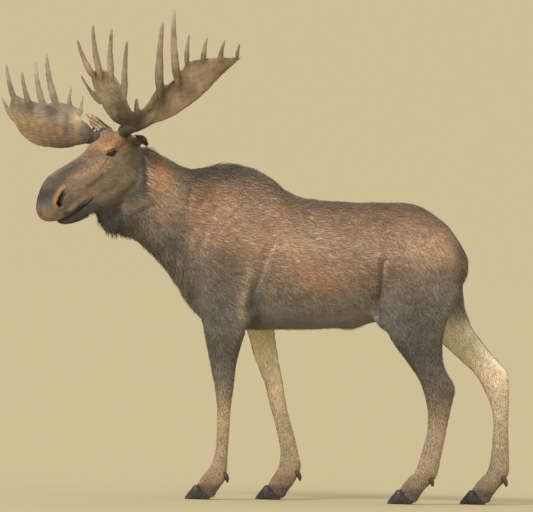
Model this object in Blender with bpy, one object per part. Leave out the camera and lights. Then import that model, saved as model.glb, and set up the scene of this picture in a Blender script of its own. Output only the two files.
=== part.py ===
"""A bull moose standing at rest, head turned to its left, carrying full palmate antlers.

Metres, +Z up.  The animal faces -X with its left side towards -Y.  The body is drawn on
stations (a centre, a half-width and the reach above and below it), the stations are lofted,
and the lofts are fused into one flesh solid that is then parted into its named pieces.
"""
import math

import bmesh
import bpy
import numpy as np
from mathutils import Vector

# ------------------------------------------------------------------ driving sizes
GAP = 0.00035                    # clearance between neighbouring solids
FLESH_VOXEL = 0.0065
ANTLER_VOXEL = 0.0042
FLESH_TRIANGLES = 3000           # of the whole flesh before it is parted
ANTLER_TRIANGLES = 790           # of each antler before it is parted

HEAD_YAW = math.radians(36.0)    # head turned towards -Y
HEAD_PITCH = math.radians(28.4)  # nose below the poll
HEAD_AT = np.array([-0.842, -0.110, 2.046])   # middle of the poll
HEAD_F = np.array([-math.cos(HEAD_PITCH) * math.cos(HEAD_YAW), -math.cos(HEAD_PITCH) * math.sin(HEAD_YAW),
                   -math.sin(HEAD_PITCH)])
HEAD_U = np.array([-math.sin(HEAD_PITCH) * math.cos(HEAD_YAW), -math.sin(HEAD_PITCH) * math.sin(HEAD_YAW),
                   math.cos(HEAD_PITCH)])
HEAD_L = np.array([math.sin(HEAD_YAW), -math.cos(HEAD_YAW), 0.0])

ANTLER_ROLL = math.radians(6.0)  # the left antler rides a little higher
ANTLER_AT = np.array([-0.93, -0.17, 2.10])
ANTLER_F = np.array([-math.cos(HEAD_YAW), -math.sin(HEAD_YAW), 0.0])
ANTLER_L = np.array([math.sin(HEAD_YAW) * math.cos(ANTLER_ROLL),
                     -math.cos(HEAD_YAW) * math.cos(ANTLER_ROLL), math.sin(ANTLER_ROLL)])
ANTLER_U = np.cross(ANTLER_F, ANTLER_L)

EYE_RADIUS = 0.0250
EYE_AT = (0.200, 0.040, 0.093)   # along the face, up, out
CLAW_LENGTH = 0.145
CLAW_HALF = 0.026
CLAW_APART = 0.0345              # claw middle from the foot's middle


def head_point(s, u, l):
    return HEAD_AT + s * HEAD_F + u * HEAD_U + l * HEAD_L


def antler_point(side, l, f, u):
    return ANTLER_AT + side * l * ANTLER_L + f * ANTLER_F + u * ANTLER_U


# ------------------------------------------------------------------ curves and lofts
def smooth_rows(rows, count, keys=3):
    """Rows of numbers turned into `count` rows along a smooth curve that never overshoots them."""
    rows = np.array(rows, float)
    step = np.linalg.norm(np.diff(rows[:, :keys], axis=0), axis=1)
    at = np.concatenate([[0.0], np.cumsum(np.maximum(step, 1e-6))])
    slope = np.diff(rows, axis=0) / np.diff(at)[:, None]
    tangent = np.zeros_like(rows)
    tangent[0], tangent[-1] = slope[0], slope[-1]
    a, b = slope[:-1], slope[1:]
    same = (a * b) > 0
    tangent[1:-1] = np.where(same, 2 * a * b / np.where(same, a + b, 1.0), 0.0)
    q = np.linspace(0, at[-1], count)
    i = np.clip(np.searchsorted(at, q, side="right") - 1, 0, len(at) - 2)
    h = (at[i + 1] - at[i])
    t = ((q - at[i]) / h)[:, None]
    h = h[:, None]
    return ((2 * t**3 - 3 * t**2 + 1) * rows[i] + (t**3 - 2 * t**2 + t) * h * tangent[i]
            + (-2 * t**3 + 3 * t**2) * rows[i + 1] + (t**3 - t**2) * h * tangent[i + 1])


class Solid:
    """A heap of closed shells, kept as points and faces."""

    def __init__(self):
        self.points, self.faces, self.total = [], [], 0

    def add(self, points, faces):
        points = np.asarray(points, float)
        self.points.append(points)
        self.faces.extend([tuple(self.total + k for k in face) for face in faces])
        self.total += len(points)

    def mesh(self, name):
        mesh = bpy.data.meshes.new(name)
        mesh.from_pydata(np.concatenate(self.points).tolist(), [], self.faces)
        work = bmesh.new()
        work.from_mesh(mesh)
        bmesh.ops.recalc_face_normals(work, faces=work.faces)
        bmesh.ops.triangulate(work, faces=work.faces)
        work.to_mesh(mesh)
        work.free()
        return mesh


def closed_loft(solid, rings):
    """Rings of equal length joined into a tube and closed with a fan at each end."""
    count, ring = len(rings), len(rings[0])
    points = np.concatenate([np.concatenate(rings), [np.mean(rings[0], axis=0)],
                             [np.mean(rings[-1], axis=0)]])
    faces = []
    for i in range(count - 1):
        for k in range(ring):
            n = (k + 1) % ring
            faces.append((i * ring + k, i * ring + n, (i + 1) * ring + n, (i + 1) * ring + k))
    first, last = count * ring, count * ring + 1
    for k in range(ring):
        n = (k + 1) % ring
        faces.append((first, n, k))
        faces.append((last, (count - 1) * ring + k, (count - 1) * ring + n))
    solid.add(points, faces)


def station(centre, lateral, vertical, half, up, down, egg=0.0, power=1.0, ring=32):
    """One cross-section: a rounded outline, narrower above its middle by `egg`, squarer for power below 1."""
    a = np.linspace(0, 2 * math.pi, ring, endpoint=False)
    c, s = np.cos(a), np.sin(a)
    across = half * np.sign(c) * np.abs(c) ** power * (1 - egg * np.maximum(s, 0))
    height = np.where(s > 0, up, down) * np.sign(s) * np.abs(s) ** power
    return centre + across[:, None] * lateral + height[:, None] * vertical


def body_loft(solid, rows, count, ring=36):
    """rows: x, z_top, z_widest, z_bottom, half_width, egg - upright sections along the back."""
    for_key = [(r[0], r[2], 0.0) + tuple(r) for r in rows]
    rings = []
    for r in smooth_rows(for_key, count):
        x, top, mid, bottom, half, egg = r[3:]
        rings.append(station(np.array([x, 0, mid]), np.array([0, -1.0, 0]), np.array([0, 0, 1.0]), half,
                             top - mid, mid - bottom, egg, 0.94, ring))
    closed_loft(solid, rings)


def neck_loft(solid, rows, count, ring=36):
    """rows: x, y, z, tilt, yaw, half_width, up, down, egg."""
    rings = []
    for r in smooth_rows(rows, count):
        x, y, z, tilt, yaw, half, up, down, egg = r
        t, w = math.radians(tilt), math.radians(yaw)
        lateral = np.array([math.sin(w), -math.cos(w), 0.0])
        vertical = np.array([-math.sin(t) * math.cos(w), -math.sin(t) * math.sin(w), math.cos(t)])
        rings.append(station(np.array([x, y, z]), lateral, vertical, half, up, down, egg, 0.95, ring))
    closed_loft(solid, rings)


def head_loft(solid, rows, count, power, ring=36):
    """rows: s along the face, top, middle, bottom, half_width, egg - sections square to the face."""
    rings = []
    for r in smooth_rows([(x[0], 0.0, 0.0) + tuple(x) for x in rows], count):
        s, top, mid, bottom, half, egg = r[3:]
        rings.append(station(head_point(s, mid, 0), HEAD_L, HEAD_U, half, top - mid, mid - bottom, egg,
                             power, ring))
    closed_loft(solid, rings)


def leg_loft(solid, rows, count, ring=26):
    """rows: x_front, x_back, y, z, half_width - level sections down the leg."""
    rings = []
    for r in smooth_rows([(x[3], (x[0] + x[1]) / 2, x[2]) + tuple(x) for x in rows], count):
        front, back, y, z, half = r[3:]
        rings.append(station(np.array([(front + back) / 2, y, z]), np.array([0, -1.0, 0]),
                             np.array([-1.0, 0, 0]), half, (back - front) / 2, (back - front) / 2, 0, 0.96,
                             ring))
    closed_loft(solid, rings)


def tube(solid, path, count, ring=12):
    """path: x, y, z, radius - a round tube along a smooth curve."""
    rows = smooth_rows(path, count)
    centre = rows[:, :3]
    along = np.gradient(centre, axis=0)
    along /= np.linalg.norm(along, axis=1)[:, None]
    side = np.cross(along[0], [0, 0, 1.0] if abs(along[0][2]) < 0.9 else [1.0, 0, 0])
    rings = []
    a = np.linspace(0, 2 * math.pi, ring, endpoint=False)
    for c, t, r in zip(centre, along, rows[:, 3]):
        side = side - t * np.dot(side, t)
        side /= np.linalg.norm(side)
        other = np.cross(t, side)
        rings.append(c + r * (np.cos(a)[:, None] * side + np.sin(a)[:, None] * other))
    closed_loft(solid, rings)


def ellipsoid(solid, centre, radii, axes=None, ring=24):
    axes = np.eye(3) if axes is None else np.array(axes)
    rings = []
    for phi in np.linspace(-math.pi / 2 + 0.12, math.pi / 2 - 0.12, ring // 2 + 1):
        a = np.linspace(0, 2 * math.pi, ring, endpoint=False)
        local = np.stack([radii[0] * math.cos(phi) * np.cos(a), radii[1] * math.cos(phi) * np.sin(a),
                          np.full(ring, radii[2] * math.sin(phi))], axis=1)
        rings.append(np.asarray(centre) + local @ axes)
    closed_loft(solid, rings)


def polyline(rows, count):
    return smooth_rows([tuple(r) for r in rows], count)


def palm(solid, edge_a, edge_b, rim, thick, dish, along=26, across=18):
    """A dished blade between two edges that leave one root and end on a rim: a patch with real thickness."""
    a, b, r = polyline(edge_a, along), polyline(edge_b, along), polyline(rim, across)
    t = np.linspace(0, 1, along)[:, None, None]
    v = np.linspace(0, 1, across)[None, :, None]
    root = (1 - v) * a[0] + v * b[0]
    patch = ((1 - v) * a[:, None] + v * b[:, None] + (1 - t) * root + t * r[None]
             - ((1 - t) * (1 - v) * a[0] + (1 - t) * v * b[0] + t * (1 - v) * r[0] + t * v * r[-1]))
    du, dv = np.gradient(patch, axis=0), np.gradient(patch, axis=1)
    normal = np.cross(du, dv)
    normal /= np.maximum(np.linalg.norm(normal, axis=2), 1e-9)[..., None]
    mean = normal.mean(axis=(0, 1))
    normal = 0.35 * normal + 0.65 * mean / np.linalg.norm(mean)
    normal /= np.linalg.norm(normal, axis=2)[..., None]
    bulge = np.sin(np.pi * v) * np.sin(np.pi * np.clip(t * 0.93, 0, 1)) * dish
    half = 0.5 * thick * (0.42 + 0.58 * np.sqrt(np.clip(1 - (2 * v - 1) ** 2, 0,
                                                        1))) * (1 - 0.38 * t) + 0 * patch[..., :1]
    middle = patch + bulge * normal
    top, under = middle + half * normal, middle - half * normal
    points = np.concatenate([top.reshape(-1, 3), under.reshape(-1, 3)])
    n = along * across
    faces = []
    for i in range(along - 1):
        for k in range(across - 1):
            q = (i * across + k, i * across + k + 1, (i + 1) * across + k + 1, (i + 1) * across + k)
            faces.append(q)
            faces.append(tuple(n + x for x in reversed(q)))
    border = ([(0, k) for k in range(across)] + [(i, across - 1) for i in range(1, along)]
              + [(along - 1, k) for k in range(across - 2, -1, -1)]
              + [(i, 0) for i in range(along - 2, 0, -1)])
    for (i, k), (j, m) in zip(border, border[1:] + border[:1]):
        faces.append((j * across + m, i * across + k, n + i * across + k, n + j * across + m))
    solid.add(points, faces)


# ------------------------------------------------------------------ the body's tables
# x, z_top, z_widest, z_bottom, half_width, egg
TRUNK = [(-0.575, 1.58, 1.46, 1.30, 0.05, 0.0), (-0.55, 1.66, 1.46, 1.235, 0.10, 0.05),
         (-0.48, 1.80, 1.44, 1.12, 0.165, 0.2), (-0.38, 1.948, 1.40, 1.02, 0.225, 0.44),
         (-0.28, 1.965, 1.38, 0.99, 0.25, 0.52), (-0.18, 1.953, 1.37, 0.982, 0.265, 0.52),
         (-0.08, 1.915, 1.36, 0.982, 0.278, 0.46), (0.0, 1.87, 1.36, 0.985, 0.288, 0.38),
         (0.08, 1.806, 1.35, 0.987, 0.297, 0.28), (0.18, 1.766, 1.35, 0.99, 0.305, 0.18),
         (0.35, 1.746, 1.35, 1.0, 0.31, 0.12), (0.50, 1.744, 1.36, 1.02, 0.298, 0.12),
         (0.62, 1.746, 1.39, 1.045, 0.272, 0.12), (0.72, 1.746, 1.41, 1.07, 0.258, 0.14),
         (0.82, 1.735, 1.42, 1.10, 0.254, 0.14), (0.92, 1.694, 1.42, 1.13, 0.246, 0.14),
         (1.0, 1.632, 1.41, 1.17, 0.226, 0.12), (1.07, 1.548, 1.40, 1.22, 0.180, 0.08),
         (1.115, 1.466, 1.39, 1.29, 0.115, 0.05), (1.137, 1.42, 1.38, 1.34, 0.045, 0.0)]
# x, y, z, tilt, yaw, half_width, up, down, egg
NECK = [(-0.90, -0.125, 1.88, -13, 28, 0.085, 0.14, 0.17, 0.1),
        (-0.87, -0.112, 1.86, -15, 24, 0.105, 0.175, 0.21, 0.15),
        (-0.815, -0.088, 1.79, -24, 17, 0.118, 0.270, 0.28, 0.2),
        (-0.70, -0.055, 1.725, -24, 10, 0.128, 0.267, 0.262, 0.25),
        (-0.585, -0.03, 1.65, -18, 5, 0.15, 0.292, 0.285, 0.28),
        (-0.495, -0.01, 1.59, -12.4, 2, 0.178, 0.352, 0.35, 0.3),
        (-0.40, 0.0, 1.53, -8, 0, 0.20, 0.415, 0.42, 0.35), (-0.25, 0.0, 1.50, 0, 0, 0.20, 0.42, 0.42, 0.4)]
# s, top, middle, bottom, half_width, egg
SKULL = [(-0.045, 0.02, -0.05, -0.13, 0.045, 0.1), (-0.02, 0.062, -0.045, -0.165, 0.078, 0.1),
         (0.05, 0.108, -0.02, -0.21, 0.108, 0.1), (0.14, 0.116, 0.0, -0.22, 0.118, 0.1),
         (0.20, 0.112, 0.008, -0.215, 0.114, 0.1), (0.28, 0.099, 0.002, -0.20, 0.098, 0.16),
         (0.36, 0.092, -0.01, -0.185, 0.083, 0.2), (0.44, 0.092, -0.025, -0.172, 0.077, 0.2),
         (0.52, 0.094, -0.035, -0.168, 0.082, 0.16), (0.58, 0.087, -0.04, -0.168, 0.089, 0.12),
         (0.63, 0.062, -0.048, -0.166, 0.092, 0.08), (0.67, 0.026, -0.06, -0.16, 0.088, 0.05),
         (0.705, -0.014, -0.072, -0.147, 0.075, 0.0), (0.73, -0.042, -0.082, -0.128, 0.052, 0.0),
         (0.743, -0.062, -0.085, -0.106, 0.025, 0.0)]
JAW = [(-0.035, -0.08, -0.15, -0.20, 0.04, 0.0), (0.0, -0.05, -0.15, -0.24, 0.082, 0.0),
       (0.08, -0.08, -0.17, -0.275, 0.095, 0.0), (0.18, -0.10, -0.19, -0.282, 0.09, 0.0),
       (0.30, -0.12, -0.20, -0.274, 0.068, 0.0), (0.42, -0.14, -0.20, -0.245, 0.055, 0.0),
       (0.50, -0.15, -0.20, -0.243, 0.053, 0.0), (0.57, -0.155, -0.195, -0.228, 0.053, 0.0),
       (0.615, -0.155, -0.185, -0.212, 0.045, 0.0), (0.64, -0.16, -0.178, -0.195, 0.025, 0.0)]
# x_front, x_back, y, z, half_width
FORE_LEFT = [(-0.25, -0.10, -0.090, 1.78, 0.03), (-0.31, -0.05, -0.120, 1.67, 0.070),
             (-0.375, -0.035, -0.146, 1.52, 0.088), (-0.425, -0.045, -0.162, 1.36, 0.100),
             (-0.430, -0.080, -0.174, 1.20, 0.102), (-0.415, -0.116, -0.180, 1.08, 0.094),
             (-0.388, -0.14, -0.178, 0.97, 0.080), (-0.362, -0.172, -0.174, 0.85, 0.066),
             (-0.34, -0.19, -0.172, 0.75, 0.058), (-0.318, -0.198, -0.171, 0.66, 0.055),
             (-0.306, -0.207, -0.170, 0.59, 0.053), (-0.300, -0.214, -0.170, 0.52, 0.045),
             (-0.299, -0.217, -0.170, 0.42, 0.039), (-0.300, -0.222, -0.170, 0.31, 0.038),
             (-0.318, -0.226, -0.170, 0.22, 0.043), (-0.338, -0.228, -0.170, 0.178, 0.047),
             (-0.366, -0.232, -0.170, 0.142, 0.046), (-0.385, -0.244, -0.170, 0.112, 0.038),
             (-0.385, -0.262, -0.170, 0.092, 0.022)]
FORE_RIGHT = [(-0.25, -0.10, 0.090, 1.78, 0.03), (-0.31, -0.04, 0.120, 1.67, 0.070),
              (-0.37, -0.02, 0.146, 1.52, 0.088), (-0.39, -0.005, 0.162, 1.36, 0.100),
              (-0.32, 0.008, 0.174, 1.20, 0.102), (-0.205, 0.02, 0.180, 1.08, 0.090),
              (-0.135, 0.03, 0.176, 0.97, 0.074), (-0.10, 0.05, 0.173, 0.85, 0.062),
              (-0.06, 0.07, 0.171, 0.75, 0.056), (-0.022, 0.088, 0.170, 0.66, 0.054),
              (0.0, 0.103, 0.170, 0.57, 0.052), (0.03, 0.130, 0.170, 0.47, 0.042),
              (0.058, 0.165, 0.170, 0.36, 0.038), (0.073, 0.186, 0.170, 0.27, 0.040),
              (0.070, 0.200, 0.170, 0.20, 0.046), (0.052, 0.196, 0.170, 0.162, 0.047),
              (0.036, 0.180, 0.170, 0.138, 0.046), (0.022, 0.164, 0.170, 0.112, 0.038),
              (0.020, 0.146, 0.170, 0.092, 0.022)]
HIND_LEFT = [(0.74, 0.94, -0.12, 1.66, 0.05), (0.675, 1.072, -0.15, 1.53, 0.098),
             (0.655, 1.13, -0.165, 1.40, 0.116), (0.642, 1.112, -0.172, 1.26, 0.118),
             (0.645, 1.058, -0.176, 1.13, 0.108), (0.658, 1.02, -0.18, 1.03, 0.096),
             (0.70, 1.004, -0.184, 0.94, 0.078), (0.76, 1.006, -0.187, 0.86, 0.063),
             (0.82, 1.028, -0.188, 0.78, 0.053), (0.866, 1.072, -0.189, 0.71, 0.048),
             (0.885, 1.085, -0.189, 0.665, 0.046), (0.902, 1.072, -0.189, 0.61, 0.045),
             (0.918, 1.056, -0.188, 0.53, 0.040), (0.918, 1.040, -0.186, 0.44, 0.038),
             (0.902, 1.026, -0.183, 0.36, 0.038), (0.880, 1.008, -0.179, 0.27, 0.041),
             (0.860, 0.995, -0.176, 0.20, 0.046), (0.842, 0.982, -0.173, 0.16, 0.047),
             (0.815, 0.950, -0.171, 0.12, 0.043), (0.80, 0.925, -0.170, 0.095, 0.032)]
HIND_RIGHT = [(0.74, 0.94, 0.12, 1.66, 0.05), (0.675, 1.072, 0.15, 1.53, 0.098),
              (0.66, 1.122, 0.165, 1.40, 0.116), (0.70, 1.118, 0.172, 1.27, 0.118),
              (0.78, 1.135, 0.176, 1.15, 0.108), (0.87, 1.17, 0.18, 1.05, 0.096),
              (0.96, 1.225, 0.184, 0.965, 0.080), (1.055, 1.295, 0.187, 0.88, 0.064),
              (1.13, 1.358, 0.188, 0.815, 0.054), (1.175, 1.392, 0.189, 0.775, 0.048),
              (1.208, 1.398, 0.189, 0.735, 0.046), (1.236, 1.400, 0.189, 0.69, 0.045),
              (1.272, 1.402, 0.189, 0.62, 0.042), (1.298, 1.402, 0.188, 0.55, 0.040),
              (1.308, 1.403, 0.186, 0.45, 0.038), (1.302, 1.408, 0.183, 0.35, 0.038),
              (1.295, 1.412, 0.179, 0.26, 0.041), (1.283, 1.412, 0.176, 0.20, 0.046),
              (1.262, 1.402, 0.173, 0.168, 0.047), (1.236, 1.390, 0.171, 0.142, 0.046),
              (1.214, 1.366, 0.170, 0.112, 0.038), (1.214, 1.345, 0.170, 0.092, 0.022)]
LEGS = {"foreleg_left": FORE_LEFT, "foreleg_right": FORE_RIGHT, "hindleg_left": HIND_LEFT,
        "hindleg_right": HIND_RIGHT}
# x of the toes' tip, y of the foot
FEET = {"foreleg_left": (-0.470, -0.170), "foreleg_right": (-0.062, 0.170), "hindleg_left": (0.702, -0.170),
        "hindleg_right": (1.128, 0.170)}
# one digit, from the fetlock to the heel bulb:
# front and back measured from the toe, offset from the foot's middle, z, half_width
DIGIT = [(0.130, 0.240, 0.012, 0.170, 0.028), (0.115, 0.243, 0.018, 0.150, 0.033),
         (0.084, 0.234, 0.024, 0.115, 0.032), (0.067, 0.214, 0.029, 0.085, 0.031),
         (0.072, 0.193, 0.0350, 0.055, 0.0240), (0.088, 0.180, 0.0355, 0.030, 0.0220),
         (0.104, 0.170, 0.0355, 0.011, 0.017), (0.115, 0.160, 0.0355, 0.0045, 0.009)]
# where the dewclaws leave the fetlock: x, z
DEWCLAWS = {"foreleg_left": (-0.238, 0.142), "foreleg_right": (0.182, 0.155),
            "hindleg_left": (0.948, 0.148), "hindleg_right": (1.382, 0.150)}
# side, lean (outward, forward, up), root (s, u, l), length, how far the cup faces outwards
EARS = {"ear_left": (1, (0.87, 0.36, 0.22), (-0.015, 0.014, 0.096), 0.215, 0.60),
        "ear_right": (-1, (0.62, 0.14, 0.77), (0.006, 0.032, 0.108), 0.250, -0.30)}


def ear_axes(side, lean, root, length, outward):
    """Root of an ear, the way it points, its width and the way its cup faces."""
    aim = side * lean[0] * HEAD_L + lean[1] * HEAD_F + lean[2] * HEAD_U
    aim /= np.linalg.norm(aim)
    facing = HEAD_F * 0.8 + side * HEAD_L * outward
    facing -= aim * np.dot(facing, aim)
    facing /= np.linalg.norm(facing)
    return head_point(root[0], root[1], side * root[2]), aim, np.cross(aim, facing), facing


def ear_shape(solid, side, lean, root, length, outward, width=0.108, thick=0.016, ring=20):
    """A cupped leaf on a short round stalk."""
    base, aim, wide, facing = ear_axes(side, lean, root, length, outward)
    rings = []
    a = np.linspace(0, 2 * math.pi, ring, endpoint=False)
    for t in np.linspace(0, 1, 15):
        half = 0.5 * width * (0.42 + 1.72 * t * (1 - t) ** 0.55 + 0.06 * t) * (1 - t**5) + 0.003
        deep = thick * (0.5 + 0.9 * (1 - t) ** 3)
        cup = 0.036 * math.sin(math.pi * min(1, t * 1.1)) * (half / (0.5 * width)) ** 2
        x = np.cos(a) * half
        y = np.sin(a) * deep * (1 - 0.15 * np.abs(np.cos(a))) + cup * ((x / (0.5 * width)) ** 2 - 0.4)
        rings.append(base + aim * (length * t - 0.02) + wide * x[:, None] + facing * y[:, None])
    closed_loft(solid, rings)


def flesh_shells():
    """Every mass of the animal, overlapping its neighbours."""
    solid = Solid()
    body_loft(solid, TRUNK, 70)
    neck_loft(solid, NECK, 40)
    head_loft(solid, SKULL, 48, 0.86)
    head_loft(solid, JAW, 34, 0.92)
    for rows in LEGS.values():
        leg_loft(solid, rows, 80)
    across = np.array([HEAD_F, HEAD_L, HEAD_U])
    for side in (1, -1):
        # brow over the eye
        ellipsoid(solid, head_point(0.165, 0.070, side * 0.092), (0.080, 0.036, 0.027), across)
        # cheekbone under it
        ellipsoid(solid, head_point(0.20, -0.016, side * 0.085), (0.075, 0.030, 0.036), across)
        # jaw muscle
        ellipsoid(solid, head_point(0.125, -0.14, side * 0.072), (0.115, 0.036, 0.098), across)
        # nostril wing
        ellipsoid(solid, head_point(0.610, -0.045, side * 0.068), (0.080, 0.030, 0.066), across)
        # hanging upper lip
        ellipsoid(solid, head_point(0.60, -0.120, side * 0.050), (0.10, 0.036, 0.040), across)
        tube(solid, [tuple(head_point(0.10, 0.05, side * 0.05)) + (0.045,),
                     tuple(head_point(0.075, 0.095, side * 0.085)) + (0.038,),
                     tuple(antler_point(side, 0.115, 0.0, 0.004)) + (0.030,)], 8)
        ellipsoid(solid, (0.62, side * 0.150, 1.640), (0.13, 0.052, 0.060))  # hip point
        ellipsoid(solid, (0.78, side * 0.150, 1.50), (0.20, 0.095, 0.16))  # haunch
        ellipsoid(solid, (-0.44, side * 0.105, 1.33), (0.085, 0.085, 0.16))  # breast
    ellipsoid(solid, (0.665, -0.165, 1.13), (0.085, 0.060, 0.14))  # flank folds
    ellipsoid(solid, (0.735, 0.165, 1.235), (0.100, 0.062, 0.14))
    ellipsoid(solid, (-0.135, -0.185, 1.10), (0.050, 0.055, 0.080))  # elbows
    ellipsoid(solid, (-0.005, 0.185, 1.11), (0.050, 0.055, 0.080))
    ellipsoid(solid, (0.45, 0.0, 1.035), (0.10, 0.045, 0.045))  # sheath
    bell = [(-0.965, -0.185, 1.745, 0.085, 0.045), (-0.965, -0.180, 1.66, 0.095, 0.042),
            (-0.955, -0.172, 1.60, 0.080, 0.038), (-0.935, -0.160, 1.55, 0.055, 0.032),
            (-0.92, -0.150, 1.518, 0.025, 0.02)]
    forward, sideways = np.array([-math.cos(HEAD_YAW), -math.sin(HEAD_YAW), 0]), HEAD_L
    closed_loft(solid, [station(np.array(r[:3]), sideways, forward, r[4], r[3], r[3], 0, 1.0,
                                20) for r in smooth_rows(bell, 12)])
    tail = [(1.060, 0, 1.530, 0.030, 0.020), (1.095, 0, 1.478, 0.038, 0.023),
            (1.120, 0, 1.425, 0.036, 0.022), (1.135, 0, 1.375, 0.022, 0.014),
            (1.140, 0, 1.350, 0.008, 0.006)]
    closed_loft(solid, [station(np.array(r[:3]), np.array([0, -1.0, 0]), np.array([-0.93, 0, -0.36]), r[3],
                                r[4], r[4], 0, 1.0, 16) for r in smooth_rows(tail, 12)])
    for ear in EARS.values():
        ear_shape(solid, *ear)
    for name, (toe, y) in FEET.items():  # the two digits of each foot
        for d in (-1, 1):
            leg_loft(solid, [(toe + front, toe + back, y + d * off, z, half) for front, back, off, z,
                             half in DIGIT], 16, 18)
    return solid


# ------------------------------------------------------------------ the hard parts
BEAMS = {1: [(0.098, 0.0, 0.004, 0.033), (0.15, 0.004, 0.012, 0.031), (0.20, -0.012, 0.022, 0.032),
             (0.27, -0.038, 0.045, 0.034), (0.36, -0.07, 0.09, 0.024)],
         -1: [(0.098, 0.0, 0.004, 0.033), (0.15, 0.012, -0.006, 0.031), (0.20, 0.020, -0.012, 0.032),
              (0.27, 0.006, 0.002, 0.034), (0.36, -0.02, 0.035, 0.024)]}
# main palm, then brow palm: lower edge, upper edge, rim, thickness, dish
PALMS = {
    1: [([(0.22, -0.022, 0.012), (0.32, -0.068, 0.030), (0.42, -0.112, 0.057), (0.53, -0.157, 0.11),
          (0.63, -0.214, 0.185), (0.715, -0.275, 0.280), (0.765, -0.325, 0.335), (0.792, -0.360, 0.374)],
         [(0.22, -0.010, 0.050), (0.29, 0.012, 0.095), (0.37, 0.010, 0.155), (0.44, -0.004, 0.230)],
         [(0.792, -0.360, 0.374), (0.802, -0.305, 0.368), (0.765, -0.22, 0.370), (0.69, -0.148, 0.368),
          (0.615, -0.095, 0.350), (0.54, -0.062, 0.275), (0.49, -0.035, 0.238), (0.44, -0.004, 0.235)],
         0.032, -0.040),
        ([(0.215, -0.008, 0.020), (0.285, 0.052, 0.040), (0.345, 0.112, 0.080), (0.380, 0.165, 0.140),
          (0.390, 0.188, 0.215)],
         [(0.135, 0.02, 0.030), (0.125, 0.085, 0.055), (0.135, 0.150, 0.105), (0.170, 0.233, 0.195)],
         [(0.390, 0.188, 0.215), (0.376, 0.208, 0.238), (0.355, 0.238, 0.285), (0.315, 0.262, 0.325),
          (0.245, 0.297, 0.335), (0.195, 0.285, 0.28), (0.170, 0.233, 0.195)],
         0.028, -0.035),
        ([(0.20, 0.010, 0.018), (0.28, 0.052, 0.045), (0.340, 0.100, 0.095)],
         [(0.22, -0.020, 0.030), (0.28, -0.012, 0.070), (0.330, 0.010, 0.120)],
         [(0.340, 0.100, 0.095), (0.325, 0.062, 0.090), (0.330, 0.010, 0.120)],
         0.026, 0.0)],
    -1: [([(0.22, -0.012, -0.012), (0.34, -0.06, 0.0), (0.46, -0.11, 0.035), (0.58, -0.17, 0.085),
           (0.70, -0.26, 0.155), (0.795, -0.345, 0.225)],
          [(0.22, 0.020, 0.018), (0.34, 0.052, 0.030), (0.47, 0.060, 0.065), (0.60, 0.040, 0.145),
           (0.70, -0.012, 0.245)],
          [(0.795, -0.345, 0.225), (0.782, -0.24, 0.262), (0.745, -0.13, 0.272), (0.70, -0.012, 0.245)],
          0.030, 0.045),
         ([(0.14, 0.018, -0.024), (0.22, 0.085, -0.046), (0.30, 0.152, -0.060), (0.38, 0.240, -0.045),
           (0.45, 0.317, 0.010), (0.478, 0.385, 0.125)],
          [(0.14, 0.030, 0.022), (0.170, 0.085, 0.085), (0.225, 0.160, 0.140), (0.285, 0.245, 0.188),
           (0.345, 0.325, 0.215)],
          [(0.478, 0.385, 0.125), (0.465, 0.405, 0.20), (0.42, 0.388, 0.26), (0.385, 0.352, 0.235),
           (0.345, 0.325, 0.215)],
          0.028, 0.035)]}
# how far along a tine, and its radius there as a share of the root's: it swells out of the palm, then narrows
TINE_TAPER = [(0.0, 0.42), (0.10, 0.66), (0.22, 0.84), (0.36, 0.80), (0.52, 0.68), (0.70, 0.54),
              (0.86, 0.42), (0.95, 0.33), (1.0, 0.20)]
# root (l, f, u), tip (l, f, u), root radius, forward bow
TINES = {1: [((0.44, -0.02, 0.16), (0.560, 0.027, 0.590), 0.033, 0.012),
             ((0.545, -0.075, 0.22), (0.624, -0.012, 0.662), 0.030, 0.014),
             ((0.605, -0.100, 0.33), (0.690, -0.065, 0.506), 0.021, 0.008),
             ((0.69, -0.155, 0.34), (0.770, -0.135, 0.484), 0.021, 0.008),
             ((0.755, -0.228, 0.34), (0.842, -0.206, 0.462), 0.021, 0.006),
             ((0.81, -0.310, 0.36), (0.882, -0.281, 0.440), 0.018, 0.004),
             ((0.155, 0.200, 0.15), (0.200, 0.362, 0.311), 0.018, 0.008),
             ((0.235, 0.285, 0.28), (0.260, 0.420, 0.508), 0.024, 0.014),
             ((0.275, 0.270, 0.28), (0.340, 0.362, 0.590), 0.026, 0.014),
             ((0.335, 0.240, 0.27), (0.420, 0.286, 0.560), 0.026, 0.012),
             ((0.375, 0.180, 0.15), (0.480, 0.224, 0.488), 0.025, 0.010),
             ((0.310, 0.045, 0.060), (0.332, 0.068, 0.172), 0.024, 0.004)],
         -1: [((0.470, 0.370, 0.11), (0.500, 0.435, 0.256), 0.020, 0.006),
              ((0.430, 0.385, 0.21), (0.420, 0.449, 0.438), 0.022, 0.012),
              ((0.355, 0.330, 0.17), (0.360, 0.384, 0.392), 0.022, 0.010),
              ((0.695, -0.010, 0.19), (0.826, -0.038, 0.508), 0.026, 0.014),
              ((0.745, -0.130, 0.22), (0.862, -0.145, 0.570), 0.028, 0.016),
              ((0.775, -0.235, 0.22), (0.820, -0.287, 0.370), 0.019, 0.006),
              ((0.785, -0.320, 0.19), (0.800, -0.355, 0.318), 0.017, 0.004)]}


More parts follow.
